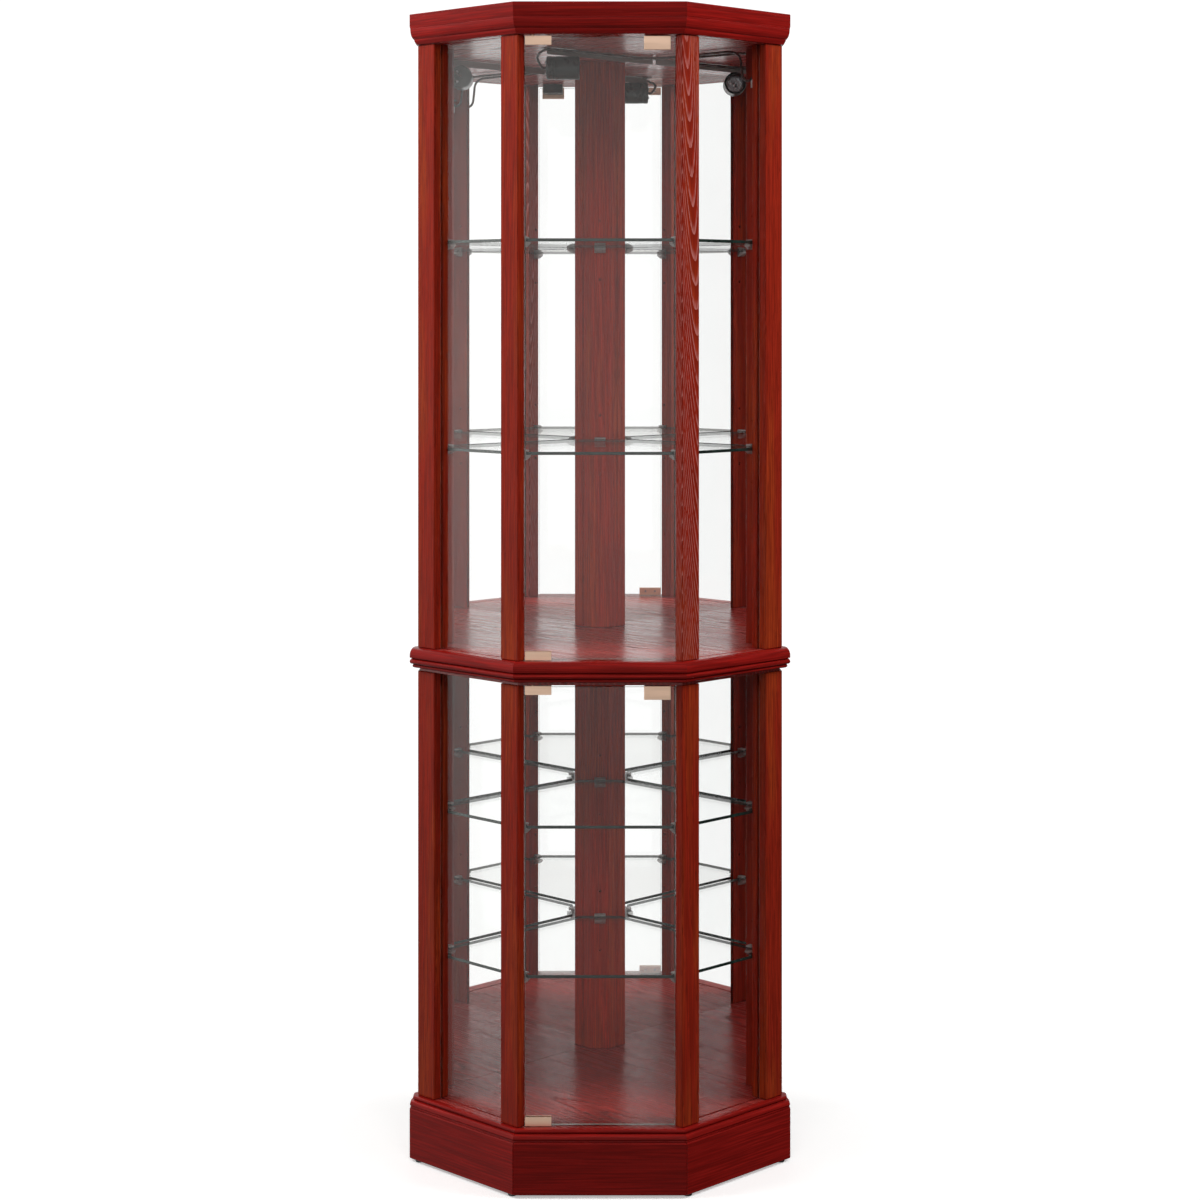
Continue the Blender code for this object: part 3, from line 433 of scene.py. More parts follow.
def paint_faces(obj, slot, chosen):
    """Give faces of the first finish another of the object's finishes; a test of their normals picks them."""
    polygons = obj.data.polygons
    normals = np.empty(len(polygons) * 3)
    polygons.foreach_get("normal", normals)
    numbers = np.empty(len(polygons), np.int32)
    polygons.foreach_get("material_index", numbers)
    picked = (numbers == 0) & chosen(normals.reshape(-1, 3))
    polygons.foreach_set("material_index", np.where(picked, slot, numbers))
    obj.data.update()


def merged_copy(node_name):
    """A copy of a CAD node's mesh, welded, with its flat faces whole again and no finish."""
    mesh = frame["nodes"][node_name].data.copy()
    mesh.materials.clear()
    bm = bmesh.new()
    bm.from_mesh(mesh)
    bmesh.ops.remove_doubles(bm, verts=bm.verts, dist=0.00001)
    bmesh.ops.dissolve_limit(bm, angle_limit=math.radians(0.4), verts=bm.verts, edges=bm.edges)
    bm.to_mesh(mesh)
    bm.free()
    return mesh


def reworked(node_name, name, finishes, slot_name, drills=None, ease=0.0):
    """A finished piece from a CAD node: a welded copy, drilled, its edges eased, in the node's place."""
    obj = bpy.data.objects.new(name, merged_copy(node_name))
    bpy.context.scene.collection.objects.link(obj)
    if drills:
        tool = drills.make([], "cabinet", slot_name)
        cut = obj.modifiers.new("drilled", "BOOLEAN")
        cut.object = tool
        cut.operation = "DIFFERENCE"
        cut.solver = "EXACT"
    if ease:
        soften = obj.modifiers.new("eased", "BEVEL")
        soften.width = ease
        soften.segments = 2
        soften.limit_method = "ANGLE"
        soften.angle_limit = math.radians(50)
    view = bpy.context.evaluated_depsgraph_get()
    mesh = bpy.data.meshes.new_from_object(obj.evaluated_get(view))
    bpy.data.objects.remove(obj)
    if drills:
        bpy.data.objects.remove(tool)
    mesh.materials.clear()
    body = frame["nodes"][node_name]["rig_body"]
    made = place_object(name, mesh, finishes, body, WORKED_EDGE_DEGREES)
    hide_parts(node_name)


# ---------------------------------------------------------------- node helpers for the finishes
def node(tree, kind, inputs=None, **settings):
    """Add a node, set its options, and set or join its inputs."""
    made = tree.nodes.new(kind)
    for key, value in settings.items():
        setattr(made, key, value)
    for key, value in (inputs or {}).items():
        if isinstance(value, bpy.types.NodeSocket):
            tree.links.new(value, made.inputs[key])
        else:
            made.inputs[key].default_value = value
    return made


def new_finish(name):
    """A material with an empty node tree, and its output."""
    finish = bpy.data.materials.new(name)
    finish.use_nodes = True
    finish.node_tree.nodes.clear()
    return finish, finish.node_tree, finish.node_tree.nodes.new("ShaderNodeOutputMaterial")


def blended(tree, share, first, second):
    """Colour between two colours or sockets."""
    inputs = {0: share, 6: first, 7: second}
    return node(tree, "ShaderNodeMix", inputs, data_type="RGBA", blend_type="MIX").outputs[2]


def worked_out(tree, operation, first, second=0.0, clamp=False):
    """A value from one sum or product."""
    inputs = {0: first, 1: second}
    return node(tree, "ShaderNodeMath", inputs, operation=operation, use_clamp=clamp).outputs[0]


def between(tree, value, low, high, out_low=0.0, out_high=1.0):
    """A value's place between two others, as a smooth step."""
    inputs = {"Value": value, "From Min": low, "From Max": high, "To Min": out_low, "To Max": out_high}
    return node(tree, "ShaderNodeMapRange", inputs, interpolation_type="SMOOTHSTEP").outputs[0]


def noise(tree, place, scale, detail):
    """Noise between 0 and 1 at a place, so many times to the metre."""
    inputs = {"Vector": place, "Scale": scale, "Detail": detail}
    return node(tree, "ShaderNodeTexNoise", inputs).outputs["Fac"]


def raised(tree, height, strength, distance):
    """The normal of a surface that a height lifts by up to a distance."""
    inputs = {"Height": height, "Strength": strength, "Distance": distance}
    return node(tree, "ShaderNodeBump", inputs).outputs[0]


def rgba(colour, factor=1.0):
    """A colour with every channel times a factor, held to 1, and with its opacity."""
    return (*(min(1.0, channel * factor) for channel in colour[:3]), 1.0)


# ---------------------------------------------------------------- finishes
UPRIGHT = (0.0, math.pi / 2, 0.0)
LEVEL = (0.0, 0.0, 0.0)
ALONG_SIDE = {"left": (0.0, 0.0, math.pi / 4), "right": (0.0, 0.0, -math.pi / 4)}


def wood_finish(name, stain, streak, turn, pith, spacing, figure=0.010, pores=0.6, specular=0.08,
                bump=0.25, pore_tone_and_sheen=None, ring_depth=0.45, pore_from=0.50):
    """Stained open-grained wood under lacquer, with its grain along the mapped X axis.

    Rings are a wave of the distance from the pith, bent by slow noise. Fibres and pores are noise drawn
    out along the grain, and the pores gather in each ring's early wood.
    """
    finish, tree, output = new_finish(name)
    place = node(tree, "ShaderNodeTexCoord").outputs["Object"]
    laid = node(tree, "ShaderNodeMapping", {"Vector": place, "Rotation": turn}).outputs[0]
    long_way = node(tree, "ShaderNodeMapping", {"Vector": laid, "Scale": (0.09, 1.0, 1.0)}).outputs[0]
    slow = {"Vector": long_way, "Scale": 22.0, "Detail": 3.0}
    wander = node(tree, "ShaderNodeTexNoise", slow).outputs["Color"]
    about_middle = {0: wander, 1: (0.5, 0.5, 0.5)}
    centred = node(tree, "ShaderNodeVectorMath", about_middle, operation="SUBTRACT").outputs[0]
    swing = node(tree, "ShaderNodeVectorMath", {0: centred, "Scale": figure}, operation="SCALE").outputs[0]
    bent = node(tree, "ShaderNodeVectorMath", {0: laid, 1: swing}, operation="ADD").outputs[0]
    from_pith = node(tree, "ShaderNodeMapping", {"Vector": bent, "Location": pith}).outputs[0]
    ring_inputs = {"Vector": from_pith, "Scale": 0.314 / spacing, "Distortion": 0.0}
    ring = node(tree, "ShaderNodeTexWave", ring_inputs, wave_type="RINGS", rings_direction="X",
                wave_profile="SAW").outputs["Fac"]
    fibre_way = node(tree, "ShaderNodeMapping", {"Vector": bent, "Scale": (0.025, 1.0, 1.0)}).outputs[0]
    fibre = noise(tree, fibre_way, 420.0, 4.0)
    pore_way = node(tree, "ShaderNodeMapping", {"Vector": bent, "Scale": (0.06, 1.0, 1.0)}).outputs[0]
    pore_noise = noise(tree, pore_way, 900.0, 2.0)
    broad = noise(tree, long_way, 34.0, 2.0)
    early = between(tree, ring, 0.55, 0.98)
    pore = worked_out(tree, "MULTIPLY", between(tree, pore_noise, pore_from, pore_from + 0.12), early)
    pore = worked_out(tree, "MULTIPLY", pore, pores)
    ground = blended(tree, between(tree, broad, 0.42, 0.66), rgba(stain), rgba(streak))
    dark = blended(tree, between(tree, fibre, 0.34, 0.66, 0.70, 0.0), ground, rgba(stain, 0.42))
    shaded = blended(tree, between(tree, ring, 0.0, 0.85, ring_depth, 0.0), dark, rgba(stain, 0.55))
    # Pores take a dark copy of the stain unless a pore colour is given; the figured post's light pink pore
    # colour is painted sheen, light caught in the pores.
    colour = blended(tree, pore, shaded, pore_tone_and_sheen or rgba(stain, 0.16))
    relief = worked_out(tree, "SUBTRACT", worked_out(tree, "MULTIPLY", fibre, 0.25), pore)
    bumped = raised(tree, relief, bump, 0.0004)
    smear = noise(tree, long_way, 60.0, 2.0)
    gloss = wood_settings().lacquer_roughness
    rough = between(tree, smear, 0.3, 0.7, gloss - 0.03, gloss + 0.06)
    rough = worked_out(tree, "ADD", rough, worked_out(tree, "MULTIPLY", pore, 0.25))
    shader = node(tree, "ShaderNodeBsdfPrincipled", {
        "Base Color": colour, "Roughness": rough, "Normal": bumped, "Specular IOR Level": specular})
    tree.links.new(shader.outputs[0], output.inputs[0])
    return finish


def plain_finish(name, colour, second, scale, roughness, spread=0.05, metallic=0.0, bump=0.1,
                 distance=0.0002, stretch=(1.0, 1.0, 1.0), alpha=1.0, specular=0.5):
    """A moulded, painted or metal surface: two near tones in noise, with roughness and relief from it."""
    finish, tree, output = new_finish(name)
    place = node(tree, "ShaderNodeTexCoord").outputs["Object"]
    drawn = node(tree, "ShaderNodeMapping", {"Vector": place, "Scale": stretch}).outputs[0]
    mottle = noise(tree, drawn, scale, 4.0)
    fine = noise(tree, drawn, scale * 12, 2.0)
    base = blended(tree, between(tree, mottle, 0.35, 0.65), rgba(colour), rgba(second))
    rough = between(tree, mottle, 0.3, 0.7, roughness - spread, roughness + spread)
    bumped = raised(tree, fine, bump, distance)
    shader = node(tree, "ShaderNodeBsdfPrincipled", {
        "Base Color": base, "Roughness": rough, "Normal": bumped, "Metallic": metallic, "Alpha": alpha,
        "Specular IOR Level": specular})
    tree.links.new(shader.outputs[0], output.inputs[0])
    return finish


SQUARE_ON_SHARE = 0.030


def glass_finish(name, haze_factor=1.0, grazing_factor=0.96):
    """A thin pane's surface: clear where it is seen square on, and bright towards a grazing view.

    The share that is thrown back is the haze + 0.03 + the grazing factor times the fifth power of how
    far the view is from square. The haze is slightly uneven, and the rest goes straight through.
    """
    finish, tree, output = new_finish(name)
    glass = glass_settings()
    place = node(tree, "ShaderNodeTexCoord").outputs["Object"]
    smear = noise(tree, place, 9.0, 5.0)
    haze = between(tree, smear, 0.2, 0.8, glass.haze * haze_factor * 0.75, glass.haze * haze_factor * 1.25)
    facing = node(tree, "ShaderNodeLayerWeight", {"Blend": 0.5}).outputs["Facing"]
    grazing = worked_out(tree, "MULTIPLY", worked_out(tree, "POWER", facing, 5.0), grazing_factor)
    share = worked_out(tree, "ADD", worked_out(tree, "ADD", grazing, SQUARE_ON_SHARE), haze, clamp=True)
    film = node(tree, "ShaderNodeBsdfPrincipled", {
        "Base Color": (0.95, 0.97, 0.96, 1.0), "Metallic": 1.0, "Roughness": 0.03})
    clear = node(tree, "ShaderNodeBsdfTransparent", {"Color": rgba(glass.tint)})
    both = node(tree, "ShaderNodeMixShader", {0: share, 1: clear.outputs[0], 2: film.outputs[0]})
    tree.links.new(both.outputs[0], output.inputs[0])
    return finish


def glass_edge_finish(name, colour, alpha):
    """A ground and polished glass edge, dark green where the light runs into the pane."""
    return plain_finish(name, colour, tuple(channel * 1.6 for channel in colour), 60.0, 0.16, 0.04,
                        bump=0.05, alpha=alpha)


def mirror_finish():
    """Silvered glass: a clean reflector with the faintest unevenness of tone."""
    finish, tree, output = new_finish("silvered_glass")
    silver = glass_settings().silver
    place = node(tree, "ShaderNodeTexCoord").outputs["Object"]
    cloud = noise(tree, place, 5.0, 3.0)
    tone = blended(tree, between(tree, cloud, 0.3, 0.7), rgba(silver), rgba(silver, 0.985))
    shader = node(tree, "ShaderNodeBsdfPrincipled", {"Base Color": tone, "Metallic": 1.0, "Roughness": 0.0})
    tree.links.new(shader.outputs[0], output.inputs[0])
    return finish


def brass_finish():
    """Satin brass, brushed along the fitting."""
    brass = tuple(fitting_settings().brass)
    return plain_finish("satin_brass", brass, tuple(channel * 0.88 for channel in brass), 70.0, 0.36, 0.06,
                        metallic=1.0, bump=0.12, distance=0.0001, stretch=(0.15, 1.0, 1.0))


def finish_named(name):
    """One of the cabinet's finishes, made the first time that it is asked for."""
    found = bpy.data.materials.get(name)
    return found or FINISHES[name]()


def centre_wood_painted_light():
    """The centre post, its stain and amber painted 1.7 and 1.5 times lighter: painted light for the light
    that both mirrors throw on it.
    """
    wood = wood_settings()
    return wood_finish("centre_cherry_painted_light", rgba(wood.stain, 1.7)[:3], rgba(wood.amber, 1.5)[:3],
                       (UPRIGHT[0], UPRIGHT[1], 0.012), (0.0, -0.10, 0.22), wood.ring_spacing)


def post_wood(name, pith, tilt=0.014, figure=0.010, spacing=None, pores=0.7, pore_tone_and_sheen=None, depth=0.45,
              pore_from=0.50):
    """The posts' wood, with its grain upright and leaning a little."""
    wood = wood_settings()
    turn = (UPRIGHT[0], UPRIGHT[1], UPRIGHT[2] + tilt)
    return wood_finish(name, wood.stain, wood.amber, turn, pith, spacing or wood.ring_spacing, figure, pores,
                       pore_tone_and_sheen=pore_tone_and_sheen, ring_depth=depth, pore_from=pore_from)


def moulding_wood(name, turn):
    """The wood of the mouldings and the plinth, with its grain level along the strip."""
    wood = wood_settings()
    stain = wood.moulding_stain
    return wood_finish(name, stain, rgba(stain, 1.2)[:3], turn, (0.0, 0.31, -0.2), wood.ring_spacing * 1.3,
                       0.008, 0.25, 0.10, 0.12)


def veneer_wood(name, pith, specular, strength=1.0):
    """Veneer of the boards, with broad rings and deep pores that run across one corner."""
    wood = wood_settings()
    # A strength above 1 paints the veneer lighter: painted light that makes the mid board and the ceiling
    # lighter copies of the floor's veneer.
    stain = rgba(wood.veneer_stain, strength)[:3]
    turn = (0.0, 0.085, ALONG_SIDE["left"][2])
    return wood_finish(name, stain, rgba(stain, 1.25)[:3], turn, pith, wood.ring_spacing * 2.2,
                       0.010, 1.0, specular, 0.35, ring_depth=0.85, pore_from=0.42)


FINISHES = {
    "plain_cherry": lambda: post_wood("plain_cherry", (0.0, 0.45, 0.30)),
    "centre_cherry_painted_light": centre_wood_painted_light,
    # The figured post's light pink pores, (0.50, 0.17, 0.15), are painted sheen: light caught in the pores of
    # the cathedral figure.
    "figured_cherry": lambda: post_wood("figured_cherry", (0.0, 0.0741, 0.1224), 0.078, 0.004, 0.0022,
                                        0.9, (0.50, 0.17, 0.15, 1.0), 0.75, 0.36),
    "moulding_wood_front": lambda: moulding_wood("moulding_wood_front", LEVEL),
    "moulding_wood_left": lambda: moulding_wood("moulding_wood_left", ALONG_SIDE["left"]),
    "moulding_wood_right": lambda: moulding_wood("moulding_wood_right", ALONG_SIDE["right"]),
    "lower_veneer": lambda: veneer_wood("lower_veneer", (0.0, 0.10, -0.06), 0.07),
    # The mid board's veneer is painted 1.35 times lighter and the ceiling's 2.1 times: painted light,
    # standing in for the light that falls on them.
    "upper_veneer": lambda: veneer_wood("upper_veneer", (0.0, -0.04, -0.79), 0.50, 1.35),
    "ceiling_veneer": lambda: veneer_wood("ceiling_veneer", (0.0, 0.02, -1.72), 0.85, 2.1),
    "pane_glass": lambda: glass_finish("pane_glass"),
    "shelf_plate": lambda: glass_finish("shelf_plate", 0.5, 0.50),
    "pane_edge": lambda: glass_edge_finish("pane_edge", (0.30, 0.36, 0.33), 0.75),
    "shelf_edge": lambda: glass_edge_finish("shelf_edge", tuple(glass_settings().edge), 1.0),
    "silvered_glass": mirror_finish,
    "hardboard": lambda: plain_finish("hardboard", (0.060, 0.036, 0.022), (0.085, 0.052, 0.032), 45.0,
                                      0.75, bump=0.5, distance=0.0006),
    "satin_brass": brass_finish,
    "clear_plastic": lambda: plain_finish("clear_plastic", (0.42, 0.40, 0.38), (0.55, 0.52, 0.50), 150.0,
                                          0.22, alpha=0.62),
    "black_plastic": lambda: plain_finish("black_plastic", (0.022, 0.021, 0.021), (0.032, 0.030, 0.030),
                                          90.0, 0.48, bump=0.3),
    # The packing strip is near black and almost without shine: a real strip under the glass, its colour
    # painted shade for the dark line along the mirror's foot.
    "packing_with_painted_shade": lambda: plain_finish("packing_with_painted_shade", (0.004, 0.003, 0.003), (0.007, 0.005, 0.005),
                                         80.0, 0.80, specular=0.05),
    "screw_steel": lambda: plain_finish("screw_steel", (0.52, 0.52, 0.53), (0.42, 0.42, 0.44), 120.0,
                                        0.30, metallic=1.0),
    "dark_steel": lambda: plain_finish("dark_steel", (0.270, 0.225, 0.215), (0.320, 0.270, 0.258), 60.0,
                                       0.42, metallic=0.3, stretch=(0.2, 0.2, 1.0)),
    "phenolic": lambda: plain_finish("phenolic", (0.036, 0.050, 0.047), (0.050, 0.066, 0.062), 40.0,
                                     0.30, 0.07, bump=0.15, distance=0.0003),
    "soft_brown_sheath": lambda: plain_finish("soft_brown_sheath", (0.085, 0.045, 0.040),
                                              (0.12, 0.07, 0.06), 80.0, 0.28, bump=0.1, specular=0.25),
    "white_tag": lambda: plain_finish("white_tag", (0.82, 0.82, 0.80), (0.74, 0.74, 0.71), 70.0, 0.45),
}


# ---------------------------------------------------------------- base and mouldings
def glide_profile(height, radius):
    """Radius and height of a turned glide: a domed sole, a straight side and an eased top."""
    sole = arc((radius - 0.0016, 0.0016), (0.0016, 0.0016), -90, 0, 5)
    top = arc((radius - 0.0005, height - 0.0005), (0.0005, 0.0005), 0, 90, 3)
    return np.concatenate([sole, top])


def base_profile(height):
    """Base moulding from its foot: a cavetto over the plinth, a broad ovolo and a small bead."""
    bead = height - 0.0056
    return np.concatenate([
        [(-0.0160, JOINT_GAP), (-0.0020, JOINT_GAP), (-0.0021, 0.0012)],
        arc((-0.0001, 0.0030), (0.0018, 0.0016), 220, 150, 4),
        arc((-0.0064, 0.0056), (0.0060, 0.0068), 0, 88, 10),
        [(-0.0078, 0.0128), (-0.0078, bead)],
        arc((-0.0074, (bead + height) / 2), (0.0022, (height - bead) / 2), -80, 88, 8),
        [(-0.0160, height)],
    ])


def waist_profile(height):
    """Waist moulding from its foot: a small bead, a torus, a V groove and a broad ovolo on top."""
    return np.concatenate([
        [(-0.0160, 0.0), (-0.0078, 0.0)],
        arc((-0.0076, 0.0030), (0.0030, 0.0026), -70, 60, 6),
        [(-0.0052, 0.0058), (-0.0048, 0.0066)],
        arc((-0.0036, 0.0100), (0.0034, 0.0036), -85, 78, 8),
        [(-0.0040, 0.0152), (-0.0006, 0.0160), (-0.0002, 0.0168), (-0.0002, 0.0200)],
        arc((-0.0066, 0.0200), (0.0064, height - 0.0204), 2, 86, 10),
        [(-0.0072, height), (-0.0160, height)],
    ])


def crown_profile(height):
    """Crown moulding from its foot: a chamfer, a fillet, an ovolo, a fine step and a plain fascia."""
    return np.concatenate([
        [(-0.0160, JOINT_GAP), (-0.0108, JOINT_GAP), (-0.0102, 0.0010), (-0.0078, 0.0052), (-0.0072, 0.0066),
         (-0.0072, 0.0088)],
        arc((-0.0070, 0.0252), (0.0060, 0.0160), -75, 0, 10),
        [(-0.0012, 0.0262), (-0.0004, 0.0266), (-0.0004, 0.0282), (0.0, 0.0290), (0.0, height - 0.0006),
         (-0.0006, height), (-0.0160, height)],
    ])


def moulding_paths():
    """Plan lines of the front, left and right strips, each with a point more at both ends."""
    pull = JOINT_GAP / 2
    front_y = -DEPTH / 2
    paths = {"front": np.array([plan(-1, U_BACK, 0.0), (-HALF_FRONT + pull, front_y),
                                (HALF_FRONT - pull, front_y), plan(1, U_BACK, 0.0)])}
    for label, side in SIDES.items():
        start = plan(side, pull, 0.0)
        outer = plan(side, SIDE_RUN * ROOT2, 0.0)
        end = (side * HALF_WIDTH, outer[1] + RETURN_LENGTH)
        beyond = (end[0] + side * RETURN_LENGTH, end[1])
        line = np.array([(-side * HALF_FRONT, start[1]), start, outer, end, beyond])
        paths[label] = line if side > 0 else line[::-1]
    return paths


class CURIO_OT_base(bpy.types.Operator):
    """Plinth boards and the glides under them"""

    bl_idname = "curio.base"
    bl_label = "Plinth and glides"

    def execute(self, context):
        for label in ("front", "left", "right"):
            wood = finish_named(f"moulding_wood_{label}")
            reworked(f"plinth_{label}", f"plinth_board_{label}", [wood], "plinth_wood")
        for label in SIDES:
            wood = finish_named(f"moulding_wood_{'right' if label == 'left' else 'left'}")
            reworked(f"plinth_back_{label}", f"plinth_rail_{label}", [wood], "plinth_wood")
        for label in ("front_left", "front_right", "outer_left", "outer_right", "rear"):
            low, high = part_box(f"glide_{label}")
            profile = glide_profile(high.z - low.z, (high.x - low.x) / 2)
            centre = ((low.x + high.x) / 2, (low.y + high.y) / 2, low.z)
            rings = aimed(turned(profile), centre, (0, 0, 1), up=(0, 1, 0))
            made = Piece(f"turned_glide_{label}").add(rings).make(
                [finish_named("black_plastic")], "cabinet", "glide")
            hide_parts(f"glide_{label}")
        return {"FINISHED"}


class CURIO_OT_mouldings(bpy.types.Operator):
    """Crown, waist and base mouldings, mitred round the front"""

    bl_idname = "curio.mouldings"
    bl_label = "Mouldings"

    def execute(self, context):
        profiles = {"base": base_profile, "waist": waist_profile, "crown": crown_profile}
        for level, profile in profiles.items():
            low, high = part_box(f"{level}_moulding_front")
            foot = low.z if level == "waist" else low.z - JOINT_GAP
            section = profile(high.z - foot)
            for label, path in moulding_paths().items():
                piece = Piece(f"{level}_strip_{label}").add(carried(section, path, foot))
                made = piece.make([finish_named(f"moulding_wood_{label}")], "cabinet", "moulding_wood", 28)
                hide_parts(f"{level}_moulding_{label}")
        return {"FINISHED"}


# ---------------------------------------------------------------- posts, boards and shelf supports
STILE_THICKNESS = 0.015
STILE_SUPPORT_V = 0.0745
POST_SUPPORT_SETBACK = 0.0165
STEM_DROP = 0.0042


def support_places(level):
    """Where a shelf's supports stand, as node, face point, direction out of the face and width factor.

    Two are on the inner faces of the front posts, two on the stiles along the wall and one on the
    chamfer of the centre post.
    """
    places = []
    for label, side in SIDES.items():
        (_, post_end), (_, inner), _ = extent(f"{level}_front_post_{label}", side)
        away = plan(side, 0.0, 1.0) - plan(side, 0.0, 0.0)
        post_face = plan(side, post_end - POST_SUPPORT_SETBACK, inner)
        places.append((f"{level}_front_post_{label}", post_face, away, "side"))
        stile_face = U_BACK - STILE_THICKNESS
        away = plan(side, -1.0, 0.0) - plan(side, 0.0, 0.0)
        places.append((f"{level}_corner_post_{label}", plan(side, stile_face, STILE_SUPPORT_V), away, "side"))
    low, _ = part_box(f"{level}_centre_post")
    places.append((f"{level}_centre_post", np.array([0.0, low.y]), np.array([0.0, -1.0]), "centre"))
    return places


def support_drills(node_name):
    """The holes in one post: at each shelf's supports and one step above and below them."""
    fittings = fitting_settings()
    radius = fittings.hole_diameter / 2
    level = node_name.split("_")[0]
    drills = Piece(f"{node_name}_drills")
    columns = [(point, away) for name, point, away, _ in support_places(level) if name == node_name]
    for point, away in columns:
        for shelf in SHELVES[level]:
            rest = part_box(shelf)[0].z - STEM_DROP
            for step in (-1, 0, 1):
                drill = turned([(radius, -0.010), (radius, 0.002)], 16)
                start = (*point, rest + step * fittings.hole_step)
                drills.add(aimed(drill, start, (*away, 0.0)))
    return drills


class CURIO_OT_posts(bpy.types.Operator):
    """The five posts of each compartment, drilled for the shelf supports"""

    bl_idname = "curio.posts"
    bl_label = "Posts"

    def execute(self, context):
        for level in LEVELS:
            for kind in ("front_post_left", "front_post_right", "corner_post_left", "corner_post_right",
                         "centre_post"):
                name = f"{level}_{kind}"
                drills = support_drills(name)
                # The centre post takes the copy of the stain that is painted lighter, as painted light from
                # the mirrors.
                finish = "centre_cherry_painted_light" if kind == "centre_post" else "plain_cherry"
                if name == "upper_front_post_right":
                    finish = "figured_cherry"
                wood = finish_named(finish)
                reworked(name, f"{name}_drilled", [wood], "post_wood", drills)
        return {"FINISHED"}


class CURIO_OT_boards(bpy.types.Operator):
    """Veneer on the floor, middle, ceiling and top boards"""

    bl_idname = "curio.boards"
    bl_label = "Boards"

    def execute(self, context):
        finishes = {
            "lower_floor_board": "lower_veneer",
            "mid_board": "upper_veneer",
            "ceiling_board": "ceiling_veneer",
            "top_board": "ceiling_veneer",
        }
        for name, finish in finishes.items():
            for slot in frame["nodes"][name].material_slots:
                slot.material = finish_named(finish)
        return {"FINISHED"}


def clip_outline(reach, thickness):
    """Side view of a shelf support: out of the post and up, two jaws round the edge of the glass."""
    back = 0.0034
    return rounded(np.array([
        (0.0, -0.0088), (reach * 0.45, -0.0080), (reach, -0.0034), (reach, -JOINT_GAP), (back, -JOINT_GAP),
        (back, thickness + JOINT_GAP), (reach * 0.80, thickness + JOINT_GAP),
        (reach * 0.66, thickness + 0.0026), (0.0, thickness + 0.0034)]), 0.0003, 2)


def clip_rings(outline, width):
    """A support's side view carried across its width, with its rims eased."""
    rings = stacked(outline, -width / 2, width / 2, 0.0004)
    return rings[..., [0, 2, 1]]


class CURIO_OT_supports(bpy.types.Operator):
    """Clear shelf supports with their stems in the holes"""

    bl_idname = "curio.supports"
    bl_label = "Shelf supports"

    def execute(self, context):
        fittings = fitting_settings()
        widths = {"side": fittings.clip_width, "centre": fittings.centre_clip_width}
        stem = [(0.0001, -0.0085), (0.0019, -0.0085), (0.0024, -0.0080), (0.0024, 0.0002), (0.0001, 0.0002)]
        for level in LEVELS:
            for shelf in SHELVES[level]:
                low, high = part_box(shelf)
                piece = Piece(f"{shelf}_supports")
                for _, point, away, kind in support_places(level):
                    clip = clip_rings(clip_outline(fittings.clip_reach, high.z - low.z), widths[kind])
                    start = np.array([*point, low.z]) + np.array([*away, 0.0]) * JOINT_GAP
                    piece.add(aimed(clip, start, (*away, 0.0)))
                    piece.add(aimed(turned(stem, 16), (*point, low.z - STEM_DROP), (*away, 0.0)))
                piece.make([finish_named("clear_plastic")], "cabinet", "shelf_glass")
        return {"FINISHED"}


# ---------------------------------------------------------------- glass and mirrors
PACKING_HEIGHT = 0.0030
MIRROR_GLASS_SHARE = 0.58


def pane(name, side, u_span, v_span, z_span, ease):
    """A pane that stands square to one half's axes, as a piece with ground edges."""
    u = np.array([u_span[0], u_span[1], u_span[1], u_span[0]])
    v = np.array([v_span[0], v_span[0], v_span[1], v_span[1]])
    outline = rounded(plan(side, u, v), ease, 2)
    return Piece(name).add(stacked(outline, *z_span, ease))


class CURIO_OT_glazing(bpy.types.Operator):
    """Side glass and the two frameless doors"""

    bl_idname = "curio.glazing"
    bl_label = "Side glass and doors"

    def execute(self, context):
        finishes = [finish_named("pane_glass"), finish_named("pane_edge")]
        for level in LEVELS:
            for label, side in SIDES.items():
                node_name = f"{level}_side_glass_{label}"
                piece = pane(f"{level}_side_pane_{label}", side, *extent(node_name, side), 0.0004)
                made = piece.make(finishes, "cabinet", "clear_glass", PANE_EDGE_DEGREES)
                square = np.array([side / ROOT2, -1 / ROOT2, 0.0])
                paint_faces(made, 1, lambda normals: np.abs(normals @ square) < FLAT_FACE)
                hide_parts(node_name)
            low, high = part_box(f"{level}_door_glass")
            corners = [(low.x, low.y), (high.x, low.y), (high.x, high.y), (low.x, high.y)]
            outline = rounded(corners, 0.0008, 3)
            piece = Piece(f"{level}_door_pane").add(stacked(outline, low.z, high.z, 0.0008, 3))
            made = piece.make(finishes, f"{level}_door", "clear_glass", PANE_EDGE_DEGREES)
            paint_faces(made, 1, lambda normals: np.abs(normals[:, 1]) < FLAT_FACE)
            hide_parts(f"{level}_door_glass")
        return {"FINISHED"}


